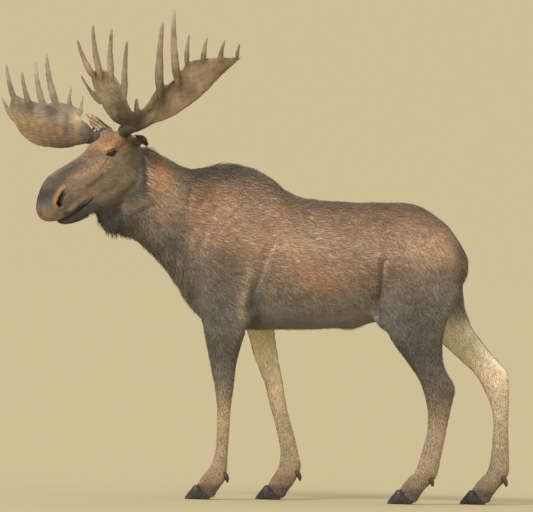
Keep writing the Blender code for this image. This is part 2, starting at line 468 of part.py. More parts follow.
def antler_shells(side):
    solid = Solid()

    def place(point):
        return antler_point(side, *point)

    tube(solid, [tuple(place(r[:3])) + (r[3],) for r in BEAMS[side]], 22, 20)
    out = antler_point(side, 1, 0, 0) - antler_point(side, 0, 0, 0)
    burr = place((0.106, 0.0, 0.006))
    tube(solid, [tuple(burr - out * 0.013) + (0.036,), tuple(burr - out * 0.006) + (0.044,),
                 tuple(burr + out * 0.006) + (0.044,), tuple(burr + out * 0.016) + (0.035,)], 9, 24)
    for edge_a, edge_b, rim, thick, dish in PALMS[side]:
        palm(solid, [place(p) for p in edge_a], [place(p) for p in edge_b], [place(p) for p in rim], thick,
             dish * side)
    for root, tip, radius, bow in TINES[side]:
        a, b = place(root), place(tip)
        rows = []
        for t, share in TINE_TAPER:
            point = a + (b - a) * t + ANTLER_F * bow * math.sin(math.pi * t)
            rows.append(tuple(point) + (radius * share,))
        tube(solid, rows, 20, 12)
    return solid


def claw_mesh(name):
    """One claw of a hoof, pointing -X with its flat sole on z = 0.

    rows: x from the heel, half-width, height, shift inwards.
    """
    rows = [(0.000, 0.015, 0.020, 0.000), (0.014, 0.0215, 0.032, 0.0), (0.044, 0.0265, 0.058, 0.0),
            (0.076, 0.0265, 0.084, 0.0), (0.086, 0.0250, 0.083, 0.0),
            (0.112, 0.0200, 0.055, 0.0015), (0.132, 0.0135, 0.030, 0.0035),
            (CLAW_LENGTH, 0.0060, 0.013, 0.0065)]
    solid, rings = Solid(), []
    for x, half, high, shift in rows:
        outline = [(-0.94, 0.0), (0.94, 0.0), (1.0, 0.22), (0.90, 0.70), (0.42, 0.98), (-0.42, 0.98),
                   (-0.90, 0.70), (-1.0, 0.22)]
        rings.append(np.array([(-x, shift + half * a, high * b) for a, b in outline]))
    closed_loft(solid, rings)
    return solid.mesh(name)


def dewclaw_shells(x, y, z):
    solid = Solid()
    tube(solid, [(x - 0.016, y, z + 0.016, 0.011), (x + 0.001, y, z - 0.001, 0.0155),
                 (x + 0.010, y, z - 0.021, 0.013), (x + 0.012, y, z - 0.036, 0.0075),
                 (x + 0.011, y, z - 0.043, 0.003)], 5, 7)
    return solid


# ------------------------------------------------------------------ scene helpers
def clear_scene():
    for thing in list(bpy.data.objects):
        bpy.data.objects.remove(thing, do_unlink=True)


def make_object(name, mesh):
    thing = bpy.data.objects.new(name, mesh)
    bpy.context.scene.collection.objects.link(thing)
    return thing


def applied(thing):
    """The object's modifiers turned into its mesh."""
    bpy.context.view_layer.update()
    graph = bpy.context.evaluated_depsgraph_get()
    mesh = bpy.data.meshes.new_from_object(thing.evaluated_get(graph))
    thing.modifiers.clear()
    thing.data = mesh
    return thing


def drop(thing):
    bpy.data.objects.remove(thing, do_unlink=True)


def fused(thing, voxel):
    thing.modifiers.new("Fuse", "REMESH").mode = "VOXEL"
    thing.modifiers["Fuse"].voxel_size = voxel
    return applied(thing)


def relax(mesh, rounds, strength):
    """Softens the creases where masses meet; strength is a function of the points."""
    n = len(mesh.vertices)
    points = np.empty(n * 3)
    mesh.vertices.foreach_get("co", points)
    points = points.reshape(-1, 3)
    edges = np.empty(len(mesh.edges) * 2, np.int64)
    mesh.edges.foreach_get("vertices", edges)
    a, b = edges.reshape(-1, 2).T
    count = np.bincount(a, minlength=n) + np.bincount(b, minlength=n)
    for k in range(rounds):
        power = strength(points, k)[:, None]
        total = np.stack([np.bincount(a, points[b, c], n) + np.bincount(b, points[a, c],
                                                                        n) for c in range(3)], axis=1)
        points += power * (total / count[:, None] - points)
    mesh.vertices.foreach_set("co", points.ravel())
    mesh.update()


def flesh_softness(points, k):
    """Long soft blends on the trunk and haunches, short ones on the head and the lower legs."""
    s = (points - HEAD_AT) @ HEAD_F
    rounds = np.full(len(points), 46.0)
    rounds[points[:, 2] < 0.98] = 14
    rounds[points[:, 2] < 0.24] = 5
    neck = (points[:, 0] < -0.62) & (points[:, 2] > 1.2)
    rounds[neck] = 30
    rounds[neck & (s > -0.03)] = 7
    ear = (points[:, 2] > 2.09)
    rounds[ear] = 3
    return np.where(k < rounds, 0.5, 0.0)


def thinned(thing, triangles):
    thing.data.calc_loop_triangles()
    cut = thing.modifiers.new("Thin", "DECIMATE")
    cut.ratio = triangles / len(thing.data.loop_triangles)
    cut.use_collapse_triangulate = True
    return applied(thing)


def cleaned(thing, merge=2e-5):
    """Welds slivers and keeps the largest body."""
    work = bmesh.new()
    work.from_mesh(thing.data)
    bmesh.ops.remove_doubles(work, verts=work.verts, dist=merge)
    bmesh.ops.dissolve_degenerate(work, edges=work.edges, dist=merge)
    bmesh.ops.triangulate(work, faces=work.faces)
    work.verts.ensure_lookup_table()
    seen, best = set(), []
    for v in work.verts:
        if v.index in seen:
            continue
        island, stack = [], [v]
        seen.add(v.index)
        while stack:
            q = stack.pop()
            island.append(q)
            for e in q.link_edges:
                o = e.other_vert(q)
                if o.index not in seen:
                    seen.add(o.index)
                    stack.append(o)
        if len(island) > len(best):
            best = island
    keep = set(best)
    bmesh.ops.delete(work, geom=[v for v in work.verts if v not in keep], context="VERTS")
    bmesh.ops.recalc_face_normals(work, faces=work.faces)
    work.to_mesh(thing.data)
    work.free()
    thing.data.update()
    return thing


def grown(polygon, by):
    """A counter-clockwise convex outline moved outwards."""
    out, n = [], len(polygon)
    for i in range(n):
        p, q, r = (Vector(polygon[(i + k - 1) % n]) for k in range(3))
        a, b = (q - p).normalized(), (r - q).normalized()
        na, nb = Vector((a.y, -a.x)), Vector((b.y, -b.x))
        bis = (na + nb).normalized()
        out.append(q + bis * (by / max(bis.dot(na), 0.2)))
    return [(p.x, p.y) for p in out]


def prism(name, polygon, low, high, frame, by=0.0):
    """A convex block: an outline in the plane of frame[1], frame[2], run along frame[3] from low to high."""
    origin, a, b, c = (np.asarray(v, float) for v in frame)
    area = sum(p[0] * q[1] - q[0] * p[1] for p, q in zip(polygon, polygon[1:] + polygon[:1]))
    outline = grown(polygon if area > 0 else polygon[::-1], by)
    n = len(outline)
    points = [origin + x * a + y * b + w * c for w in (low - by, high + by) for x, y in outline]
    faces = [tuple(range(n)), tuple(range(2 * n - 1, n - 1, -1))]
    faces += [(k, n + k, n + (k + 1) % n, (k + 1) % n) for k in range(n)]
    solid = Solid()
    solid.add(points, faces)
    return make_object(name, solid.mesh(name))


def boolean(thing, other, operation):
    cut = thing.modifiers.new("Cut", "BOOLEAN")
    cut.operation, cut.solver, cut.object = operation, "EXACT", other
    return applied(thing)


def part_off(body, name, polygon, low, high, frame):
    """Parts the piece inside a convex block off the body, leaving the clearance between them."""
    block = prism("block", polygon, low, high, frame)
    wider = prism("wider", polygon, low, high, frame, GAP)
    piece = make_object(name, body.data.copy())
    boolean(piece, block, "INTERSECT")
    boolean(body, wider, "DIFFERENCE")
    drop(block)
    drop(wider)
    return cleaned(piece)


def swollen(mesh, by):
    """A copy of a mesh pushed outwards."""
    copy = mesh.copy()
    work = bmesh.new()
    work.from_mesh(copy)
    work.normal_update()
    for v in work.verts:
        v.co += v.normal * by * 1.25
    work.to_mesh(copy)
    work.free()
    return copy


def carve(piece, hard):
    """Takes a hard part, with the clearance, out of a flesh piece."""
    cutter = make_object("carver", swollen(hard.data, GAP))
    cutter.matrix_world = hard.matrix_world.copy()
    bpy.context.view_layer.update()
    boolean(piece, cutter, "DIFFERENCE")
    drop(cutter)
    return cleaned(piece)


MATERIALS = {"coat_umber": ((0.045, 0.028, 0.020), 0.85), "coat_brown": ((0.115, 0.066, 0.042), 0.85),
             "face_brown": ((0.130, 0.072, 0.042), 0.8), "leg_tan": ((0.330, 0.240, 0.165), 0.85),
             "antler_bone": ((0.250, 0.180, 0.120), 0.6), "hoof_black": ((0.028, 0.022, 0.019), 0.45),
             "eye_dark": ((0.012, 0.008, 0.006), 0.08)}


def coloured(thing, name):
    made = bpy.data.materials.get(name)
    if made is None:
        colour, rough = MATERIALS[name]
        made = bpy.data.materials.new(name)
        made.use_nodes = True
        shader = made.node_tree.nodes["Principled BSDF"]
        shader.inputs["Base Color"].default_value = (*colour, 1.0)
        shader.inputs["Roughness"].default_value = rough
        made.diffuse_color = (*colour, 1.0)
    thing.data.materials.clear()
    thing.data.materials.append(made)
    thing.data.shade_smooth()
    thing.data.set_sharp_from_angle(angle=math.radians(50))


# ------------------------------------------------------------------ building it
def build():
    clear_scene()
    flesh = make_object("trunk", flesh_shells().mesh("trunk"))
    fused(flesh, FLESH_VOXEL)
    relax(flesh.data, 46, flesh_softness)
    thinned(flesh, FLESH_TRIANGLES)
    cleaned(flesh)
    pieces = {}

    side_view = ((0, 0, 0), (1, 0, 0), (0, 0, 1), (0, 1, 0))
    face_view = (HEAD_AT, HEAD_F, HEAD_U, HEAD_L)

    def part(name, polygon, low, high, frame):
        pieces[name] = part_off(flesh, name, polygon, low, high, frame)

    for name, ear in EARS.items():
        base, aim, wide, facing = ear_axes(*ear)
        part(name, [(-0.10, -0.09), (0.10, -0.09), (0.10, 0.09), (-0.10, 0.09)], 0.045, 0.30,
             (base, wide, facing, aim))
    part("lower_jaw", [(0.24, -0.36), (0.80, -0.36), (0.80, -0.166), (0.44, -0.166), (0.24, -0.205)], -0.3,
         0.3, face_view)
    part("head", [(-0.045, 0.35), (-0.045, -0.10), (0.0, -0.335), (0.90, -0.345), (0.90, 0.35)], -0.35,
         0.35, face_view)
    part("bell", [(-1.12, 1.70), (-1.12, 1.48), (-0.865, 1.48), (-0.865, 1.575)], -0.6, 0.3, side_view)
    part("neck", [(-1.30, 2.50), (-1.30, 1.00), (-0.68, 1.00), (-0.63, 1.20), (-0.40, 2.00), (-0.30, 2.50)],
         -0.7, 0.5, side_view)
    part("tail", [(1.088, 1.60), (1.126, 1.335), (1.30, 1.335), (1.30, 1.60)], -0.05, 0.05, side_view)
    part("foreleg_left_upper", [(-0.60, 1.045), (-0.60, 0.60), (-0.115, 0.60), (-0.115, 1.045)], -0.45,
         -0.05, side_view)
    part("foreleg_left_lower", [(-0.60, 0.60), (-0.60, -0.10), (-0.05, -0.10), (-0.05, 0.60)], -0.45, -0.05,
         side_view)
    part("foreleg_right_upper", [(-0.36, 0.965), (-0.14, 0.57), (0.30, 0.57), (0.30, 0.965)], 0.05, 0.45,
         side_view)
    part("foreleg_right_lower", [(-0.20, 0.57), (-0.20, -0.10), (0.30, -0.10), (0.30, 0.57)], 0.05, 0.45,
         side_view)
    part("hindleg_left_upper", [(0.58, 1.055), (0.58, 0.585), (1.20, 0.585), (1.20, 1.33)], -0.45, -0.045,
         side_view)
    part("hindleg_left_lower", [(0.58, 0.585), (0.58, -0.10), (1.15, -0.10), (1.15, 0.585)], -0.45, -0.045,
         side_view)
    part("hindleg_right_upper", [(0.58, 1.055), (0.90, 0.67), (1.60, 0.67), (1.60, 0.90), (1.20, 1.33)],
         0.045, 0.45, side_view)
    part("hindleg_right_lower", [(0.90, 0.67), (0.90, -0.10), (1.60, -0.10), (1.60, 0.67)], 0.045, 0.45,
         side_view)
    pieces["trunk"] = cleaned(flesh)

    # eyes
    for label, side in (("left", 1), ("right", -1)):
        bpy.ops.mesh.primitive_uv_sphere_add(segments=12, ring_count=7, radius=EYE_RADIUS,
                                             location=tuple(head_point(*EYE_AT[:2], side * EYE_AT[2])))
        eye = bpy.context.object
        eye.name = "eye_" + label
        pieces[eye.name] = eye
        carve(pieces["head"], eye)

    # antlers: each fused, then parted into beam, brow palm and main palm
    for label, side in (("left", 1), ("right", -1)):
        antler = make_object("antler_" + label + "_beam", antler_shells(side).mesh("antler"))
        fused(antler, ANTLER_VOXEL)
        relax(antler.data, 4, lambda points, k: np.full(len(points), 0.5))
        thinned(antler, ANTLER_TRIANGLES)
        cleaned(antler)
        carve(pieces["head"], antler)
        plan = (ANTLER_AT, side * ANTLER_L, ANTLER_F, ANTLER_U)
        if side == 1:
            brow = [(0.02, 0.078), (0.90, 0.078), (0.90, 0.70), (0.02, 0.70)]
            main = [(0.345, -0.70), (1.20, -0.70), (1.20, 0.074), (0.345, 0.074)]
        else:
            brow = [(0.02, 0.072), (0.42, 0.105), (0.90, 0.24), (0.90, 0.70), (0.02, 0.70)]
            main = [(0.31, -0.70), (1.20, -0.70), (1.20, 0.33), (0.42, 0.096), (0.31, 0.085)]
        for suffix, outline in (("brow_palm", brow), ("main_palm", main)):
            name = "antler_" + label + "_" + suffix
            pieces[name] = part_off(antler, name, outline, -0.5, 1.0, plan)
        pieces[antler.name] = cleaned(antler)

    # hooves: two claws and two dewclaws to a foot
    for leg, (toe, y) in FEET.items():
        short = leg.replace("leg", "")
        for label, d in (("outer", 1), ("inner", -1)):
            way = math.copysign(1, y) * d
            claw = make_object(f"claw_{short}_{label}", claw_mesh("claw"))
            if way > 0:  # the claws of a pair lean towards each other at the toe
                for v in claw.data.vertices:
                    v.co.y = -v.co.y
                claw.data.flip_normals()
            claw.location = (toe + CLAW_LENGTH, y + way * CLAW_APART, 0.0)
            bpy.context.view_layer.update()
            pieces[claw.name] = claw
            carve(pieces[leg + "_lower"], claw)
            x, z = DEWCLAWS[leg]
            dew = make_object(f"dewclaw_{short}_{label}", dewclaw_shells(x, y + way * 0.027,
                                                                         z).mesh("dewclaw"))
            pieces[dew.name] = dew
            carve(pieces[leg + "_lower"], dew)

    # the rest frame: the bottom middle of the bounding box
    low, high = np.full(3, 1e9), np.full(3, -1e9)
    bpy.context.view_layer.update()
    for thing in pieces.values():
        world = np.array([thing.matrix_world @ v.co for v in thing.data.vertices])
        low, high = np.minimum(low, world.min(axis=0)), np.maximum(high, world.max(axis=0))
    shift = Vector((-(low[0] + high[0]) / 2, -(low[1] + high[1]) / 2, 0.0))
    total = 0
    for name, thing in pieces.items():
        thing.name = name
        thing.location = thing.location + shift
        if "antler" in name:
            coloured(thing, "antler_bone")
        elif "claw" in name:
            coloured(thing, "hoof_black")
        elif "eye" in name:
            coloured(thing, "eye_dark")
        elif "_lower" in name or name in ("foreleg_right_upper", "hindleg_right_upper"):
            coloured(thing, "leg_tan")
        elif name in ("head", "lower_jaw") or "ear" in name:
            coloured(thing, "face_brown")
        elif name in ("bell", "tail"):
            coloured(thing, "coat_umber")
        else:
            coloured(thing, "coat_brown")
        thing.data.calc_loop_triangles()
        total += len(thing.data.loop_triangles)
    print({name: len(thing.data.loop_triangles) for name, thing in pieces.items()})
    print("nodes", len(pieces), "triangles", total, "size", [round(float(v), 4) for v in high - low],
          "shift", [round(float(v), 5) for v in shift])


build()
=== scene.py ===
"""The looks of a bull moose standing at rest: one skin, its coat in tufts, antlers, eyes and hooves.

Metres, +Z up.  The anatomy is drawn in its own frame (nose towards -X, left side towards -Y) by the same
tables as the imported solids, and SHIFT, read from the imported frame, sets it in place.
"""

import math

import bmesh
import bpy
import numpy as np
from mathutils import Matrix, Vector


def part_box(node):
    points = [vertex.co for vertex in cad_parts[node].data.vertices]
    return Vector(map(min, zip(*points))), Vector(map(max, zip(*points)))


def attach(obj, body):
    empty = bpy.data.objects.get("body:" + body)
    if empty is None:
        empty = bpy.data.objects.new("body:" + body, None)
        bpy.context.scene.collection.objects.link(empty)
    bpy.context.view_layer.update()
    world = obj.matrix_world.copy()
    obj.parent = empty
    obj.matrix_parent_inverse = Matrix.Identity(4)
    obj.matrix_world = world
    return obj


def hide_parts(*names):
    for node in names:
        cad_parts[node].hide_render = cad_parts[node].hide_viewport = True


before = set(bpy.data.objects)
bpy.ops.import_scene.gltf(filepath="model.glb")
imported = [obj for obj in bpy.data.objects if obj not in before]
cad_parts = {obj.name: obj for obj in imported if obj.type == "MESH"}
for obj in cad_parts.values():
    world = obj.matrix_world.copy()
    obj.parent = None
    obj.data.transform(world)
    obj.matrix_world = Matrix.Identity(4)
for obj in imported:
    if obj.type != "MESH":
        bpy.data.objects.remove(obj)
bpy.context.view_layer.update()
BODY = "root"

# ------------------------------------------------------------------ driving sizes
SKIN_VOXEL = 0.0089              # the skin before the head is refined
THINNED = 0.72                   # share of the trunk's faces that go again, under the long coat
ANTLER_VOXEL = 0.0047
COVER = 1.32                     # layers of tufts over the skin
SHORT_COVER = 0.77               # the same where the coat is short and flat
LONG_TUFT = 0.045                # longer ones droop
TUFT_SUNK = 0.0014               # how deep a tuft's root sits in the skin
BALD = 0.35                      # no tufts grow where the skin is barer than this
BAKE_PATCH = 0.0030              # a tuft's patch on its piece's bake map
# lifts the coat's shades: hair shadows itself and reddens the light between its locks
COAT_GAIN = np.array([1.2, 1.255, 1.3])

HEAD_YAW = math.radians(36.0)    # head turned towards -Y
HEAD_PITCH = math.radians(28.4)  # nose below the poll
ANTLER_ROLL = math.radians(6.0)  # the left antler rides a little higher
LEFT, UP, FRONT = np.array([0, -1.0, 0]), np.array([0, 0, 1.0]), np.array([-1.0, 0, 0])
NOSEWARD = np.array([-math.cos(HEAD_YAW), -math.sin(HEAD_YAW), 0.0])
HEAD_AT = np.array([-0.842, -0.110, 2.046])   # middle of the poll
HEAD_F = math.cos(HEAD_PITCH) * NOSEWARD - math.sin(HEAD_PITCH) * UP
HEAD_U = math.sin(HEAD_PITCH) * NOSEWARD + math.cos(HEAD_PITCH) * UP
HEAD_L = np.array([math.sin(HEAD_YAW), -math.cos(HEAD_YAW), 0.0])
ANTLER_AT = np.array([-0.93, -0.17, 2.1])
ANTLER_L = math.cos(ANTLER_ROLL) * HEAD_L + math.sin(ANTLER_ROLL) * UP
ANTLER_U = np.cross(NOSEWARD, ANTLER_L)

EYE_RADIUS = 0.025
IRIS_RADIUS = 0.0168
PUPIL_HALF = (0.0088, 0.0046)
EYE_AT = (0.200, 0.040, 0.093)   # along the face, up, out
LID_TILT = math.radians(-14)     # the slit between the lids tips down towards the nose
LID_HALF = 0.0215                # half the slit's length
BURR = (0.106, 0.0, 0.006)       # the antler's root: out, forward, up
BURR_HOLE = 0.105                # how far out the middle of the gap in the coat lies
CLAW_LENGTH = 0.145
CLAW_APART = 0.0345              # claw middle from the foot's middle
DEWCLAW_APART = 0.027
TAU = 2 * math.pi


def head_point(s, u, l):
    return HEAD_AT + s * HEAD_F + u * HEAD_U + l * HEAD_L


def antler_point(side, l, f, u):
    return ANTLER_AT + side * l * ANTLER_L + f * NOSEWARD + u * ANTLER_U


# ------------------------------------------------------------------ curves and lofts
def unit(way):
    return way / np.linalg.norm(way)


def smooth_rows(rows, count):
    """Rows of numbers turned into `count` rows along a smooth curve that never overshoots them."""
    rows = np.array(rows, float)
    stride = np.linalg.norm(np.diff(rows[:, :3], axis=0), axis=1)
    at = np.concatenate([[0.0], np.cumsum(np.maximum(stride, 1e-6))])
    slope = np.diff(rows, axis=0) / np.diff(at)[:, None]
    tangent = np.zeros_like(rows)
    tangent[0], tangent[-1] = slope[0], slope[-1]
    a, b = slope[:-1], slope[1:]
    same = (a * b) > 0
    tangent[1:-1] = np.where(same, 2 * a * b / np.where(same, a + b, 1.0), 0.0)
    q = np.linspace(0, at[-1], count)
    i = np.clip(np.searchsorted(at, q, side="right") - 1, 0, len(at) - 2)
    h = (at[i + 1] - at[i])
    t = ((q - at[i]) / h)[:, None]
    h = h[:, None]
    return ((2 * t**3 - 3 * t**2 + 1) * rows[i] + (t**3 - 2 * t**2 + t) * h * tangent[i]
            + (-2 * t**3 + 3 * t**2) * rows[i + 1] + (t**3 - t**2) * h * tangent[i + 1])


def round_angles(count):
    return np.linspace(0, TAU, count, endpoint=False)


def triangulated(mesh, outwards=False):
    work = bmesh.new()
    work.from_mesh(mesh)
    if outwards:
        bmesh.ops.recalc_face_normals(work, faces=work.faces)
    bmesh.ops.triangulate(work, faces=work.faces)
    work.to_mesh(mesh)
    work.free()
    return mesh


class Solid:
    """A heap of closed shells, kept as points and faces."""

    def __init__(self):
        self.points, self.faces, self.total = [], [], 0

    def add(self, points, faces):
        points = np.asarray(points, float)
        self.points.append(points)
        self.faces.extend([tuple(self.total + k for k in face) for face in faces])
        self.total += len(points)

    def mesh(self, name):
        mesh = bpy.data.meshes.new(name)
        mesh.from_pydata(np.concatenate(self.points).tolist(), [], self.faces)
        return triangulated(mesh, outwards=True)


def closed_loft(solid, rings):
    """Rings of equal length joined into a tube and closed with a fan at each end."""
    count, ring = len(rings), len(rings[0])
    points = np.concatenate([np.concatenate(rings), [np.mean(rings[0], axis=0)],
                             [np.mean(rings[-1], axis=0)]])
    faces = []
    for i in range(count - 1):
        for k in range(ring):
            n = (k + 1) % ring
            faces.append((i * ring + k, i * ring + n, (i + 1) * ring + n, (i + 1) * ring + k))
    first, last = count * ring, count * ring + 1
    for k in range(ring):
        n = (k + 1) % ring
        faces.append((first, n, k))
        faces.append((last, (count - 1) * ring + k, (count - 1) * ring + n))
    solid.add(points, faces)


def station(centre, lateral, vertical, half, up, down, egg=0.0, power=1.0, ring=32):
    """One cross-section: a rounded outline, narrower above its middle by `egg`, squarer for power below 1."""
    c, s = np.cos(round_angles(ring)), np.sin(round_angles(ring))
    across = half * np.sign(c) * np.abs(c) ** power * (1 - egg * np.maximum(s, 0))
    height = np.where(s > 0, up, down) * np.sign(s) * np.abs(s) ** power
    return centre + across[:, None] * lateral + height[:, None] * vertical


def body_loft(solid, rows, count, ring=36):
    """rows: x, z_top, z_widest, z_bottom, half_width, egg - upright sections along the back."""
    rings = []
    for r in smooth_rows([(row[0], row[2], 0.0) + row for row in rows], count):
        x, top, mid, bottom, half, egg = r[3:]
        centre = np.array([x, 0, mid])
        rings.append(station(centre, LEFT, UP, half, top - mid, mid - bottom, egg, 0.94, ring))
    closed_loft(solid, rings)


def neck_loft(solid, rows, count, ring=36):
    """rows: x, y, z, tilt, yaw, half_width, up, down, egg."""
    rings = []
    for x, y, z, tilt, yaw, half, up, down, egg in smooth_rows(rows, count):
        t, w = math.radians(tilt), math.radians(yaw)
        lateral = np.array([math.sin(w), -math.cos(w), 0.0])
        vertical = np.array([-math.sin(t) * math.cos(w), -math.sin(t) * math.sin(w), math.cos(t)])
        rings.append(station(np.array([x, y, z]), lateral, vertical, half, up, down, egg, 0.95, ring))
    closed_loft(solid, rings)


def head_loft(solid, rows, count, power, ring=36):
    """rows: s along the face, top, middle, bottom, half_width, egg - sections square to the face."""
    rings = []
    for r in smooth_rows([(row[0], 0.0, 0.0) + row for row in rows], count):
        s, top, mid, bottom, half, egg = r[3:]
        rings.append(station(head_point(s, mid, 0), HEAD_L, HEAD_U, half, top - mid, mid - bottom, egg,
                             power, ring))
    closed_loft(solid, rings)


def leg_loft(solid, rows, count, ring=26):
    """rows: x_front, x_back, y, z, half_width - level sections down the leg."""
    rings = []
    for r in smooth_rows([(row[3], (row[0] + row[1]) / 2, row[2]) + row for row in rows], count):
        front, back, y, z, half = r[3:]
        centre, reach = np.array([(front + back) / 2, y, z]), (back - front) / 2
        rings.append(station(centre, LEFT, FRONT, half, reach, reach, 0, 0.96, ring))
    closed_loft(solid, rings)


def tube(solid, path, count, ring=12):
    """path: x, y, z, radius - a round tube along a smooth curve."""
    rows = smooth_rows(path, count)
    along = np.gradient(rows[:, :3], axis=0)
    along /= np.linalg.norm(along, axis=1)[:, None]
    side = np.cross(along[0], [0, 0, 1.0] if abs(along[0][2]) < 0.9 else [1.0, 0, 0])
    rings = []
    a = round_angles(ring)
    for centre, t, radius in zip(rows[:, :3], along, rows[:, 3]):
        side = unit(side - t * np.dot(side, t))
        other = np.cross(t, side)
        rings.append(centre + radius * (np.cos(a)[:, None] * side + np.sin(a)[:, None] * other))
    closed_loft(solid, rings)


def ellipsoid(solid, centre, radii, axes=None, ring=24):
    axes = np.eye(3) if axes is None else np.array(axes)
    cap = math.pi / 2 - 0.12
    a = round_angles(ring)
    rings = []
    for phi in np.linspace(-cap, cap, ring // 2 + 1):
        local = np.stack([radii[0] * math.cos(phi) * np.cos(a), radii[1] * math.cos(phi) * np.sin(a),
                          np.full(ring, radii[2] * math.sin(phi))], axis=1)
        rings.append(np.asarray(centre) + local @ axes)
    closed_loft(solid, rings)


def palm(solid, edge_a, edge_b, rim, thick, dish):
    """A dished blade between two edges that leave one root and end on a rim: a patch with real thickness."""
    along, across = 26, 18
    a, b, r = smooth_rows(edge_a, along), smooth_rows(edge_b, along), smooth_rows(rim, across)
    t = np.linspace(0, 1, along)[:, None, None]
    v = np.linspace(0, 1, across)[None, :, None]
    root = (1 - v) * a[0] + v * b[0]
    patch = ((1 - v) * a[:, None] + v * b[:, None] + (1 - t) * root + t * r[None]
             - ((1 - t) * (1 - v) * a[0] + (1 - t) * v * b[0] + t * (1 - v) * r[0] + t * v * r[-1]))
    normal = np.cross(np.gradient(patch, axis=0), np.gradient(patch, axis=1))
    normal /= np.maximum(np.linalg.norm(normal, axis=2), 1e-9)[..., None]
    mean = normal.mean(axis=(0, 1))
    normal = 0.35 * normal + 0.65 * mean / np.linalg.norm(mean)
    normal /= np.linalg.norm(normal, axis=2)[..., None]
    bulge = np.sin(np.pi * v) * np.sin(np.pi * np.clip(t * 0.93, 0, 1)) * dish
    edge = np.sqrt(np.clip(1 - (2 * v - 1) ** 2, 0, 1))
    half = 0.5 * thick * (0.42 + 0.58 * edge) * (1 - 0.38 * t)
    middle = patch + bulge * normal
    points = np.concatenate([(middle + half * normal).reshape(-1, 3),
                             (middle - half * normal).reshape(-1, 3)])
    n = along * across
    faces = []
    for i in range(along - 1):
        for k in range(across - 1):
            q = (i * across + k, i * across + k + 1, (i + 1) * across + k + 1, (i + 1) * across + k)
            faces += [q, tuple(n + x for x in reversed(q))]
    border = ([(0, k) for k in range(across)] + [(i, across - 1) for i in range(1, along)]
              + [(along - 1, k) for k in range(across - 2, -1, -1)]
              + [(i, 0) for i in range(along - 2, 0, -1)])
    for (i, k), (j, m) in zip(border, border[1:] + border[:1]):
        faces.append((j * across + m, i * across + k, n + i * across + k, n + j * across + m))
    solid.add(points, faces)


# ------------------------------------------------------------------ the body's tables
# x, z_top, z_widest, z_bottom, half_width, egg
TRUNK = [(-0.575, 1.58, 1.46, 1.3, 0.05, 0.0), (-0.55, 1.66, 1.46, 1.235, 0.1, 0.05),
         (-0.48, 1.8, 1.44, 1.12, 0.165, 0.2), (-0.38, 1.948, 1.4, 1.02, 0.225, 0.44),
         (-0.28, 1.965, 1.38, 0.99, 0.25, 0.52), (-0.18, 1.953, 1.37, 0.982, 0.265, 0.52),
         (-0.08, 1.915, 1.36, 0.982, 0.278, 0.46), (0.0, 1.87, 1.36, 0.985, 0.288, 0.38),
         (0.08, 1.806, 1.35, 0.987, 0.297, 0.28), (0.18, 1.766, 1.35, 0.99, 0.305, 0.18),
         (0.35, 1.746, 1.35, 1.0, 0.31, 0.12), (0.5, 1.744, 1.36, 1.02, 0.298, 0.12),
         (0.62, 1.746, 1.39, 1.045, 0.272, 0.12), (0.72, 1.746, 1.41, 1.07, 0.258, 0.14),
         (0.82, 1.735, 1.42, 1.1, 0.254, 0.14), (0.92, 1.694, 1.42, 1.13, 0.246, 0.14),
         (1.0, 1.632, 1.41, 1.17, 0.226, 0.12), (1.07, 1.548, 1.4, 1.22, 0.18, 0.08),
         (1.115, 1.466, 1.39, 1.29, 0.115, 0.05), (1.137, 1.42, 1.38, 1.34, 0.045, 0.0)]
# x, y, z, tilt, yaw, half_width, up, down, egg
NECK = [(-0.9, -0.125, 1.88, -13, 28, 0.085, 0.14, 0.17, 0.1),
        (-0.87, -0.112, 1.86, -15, 24, 0.105, 0.175, 0.21, 0.15),
        (-0.815, -0.088, 1.79, -24, 17, 0.118, 0.27, 0.28, 0.2),
        (-0.7, -0.055, 1.725, -24, 10, 0.128, 0.267, 0.262, 0.25),
        (-0.585, -0.03, 1.65, -18, 5, 0.15, 0.292, 0.285, 0.28),
        (-0.495, -0.01, 1.59, -12.4, 2, 0.178, 0.352, 0.35, 0.3),
        (-0.4, 0.0, 1.53, -8, 0, 0.2, 0.415, 0.42, 0.35), (-0.25, 0.0, 1.5, 0, 0, 0.2, 0.42, 0.42, 0.4)]
# s, top, middle, bottom, half_width, egg
SKULL = [(-0.045, 0.02, -0.05, -0.13, 0.045, 0.1), (-0.02, 0.062, -0.045, -0.165, 0.078, 0.1),
         (0.05, 0.108, -0.02, -0.21, 0.108, 0.1), (0.14, 0.116, 0.0, -0.22, 0.118, 0.1),
         (0.2, 0.112, 0.008, -0.215, 0.114, 0.1), (0.28, 0.099, 0.002, -0.2, 0.098, 0.16),
         (0.36, 0.092, -0.01, -0.185, 0.083, 0.2), (0.44, 0.092, -0.025, -0.172, 0.077, 0.2),
         (0.52, 0.094, -0.035, -0.168, 0.082, 0.16), (0.58, 0.087, -0.04, -0.168, 0.089, 0.12),
         (0.63, 0.062, -0.048, -0.166, 0.092, 0.08), (0.67, 0.026, -0.06, -0.16, 0.088, 0.05),
         (0.705, -0.014, -0.072, -0.147, 0.075, 0.0), (0.73, -0.042, -0.082, -0.128, 0.052, 0.0),
         (0.743, -0.062, -0.085, -0.106, 0.025, 0.0)]
JAW = [(-0.035, -0.08, -0.15, -0.2, 0.04, 0.0), (0.0, -0.05, -0.15, -0.24, 0.082, 0.0),
       (0.08, -0.08, -0.17, -0.275, 0.095, 0.0), (0.18, -0.1, -0.19, -0.282, 0.09, 0.0),
       (0.3, -0.12, -0.2, -0.274, 0.068, 0.0), (0.42, -0.14, -0.2, -0.245, 0.055, 0.0),
       (0.5, -0.15, -0.2, -0.243, 0.053, 0.0), (0.57, -0.155, -0.195, -0.228, 0.053, 0.0),
       (0.615, -0.155, -0.185, -0.212, 0.045, 0.0), (0.64, -0.16, -0.178, -0.195, 0.025, 0.0)]
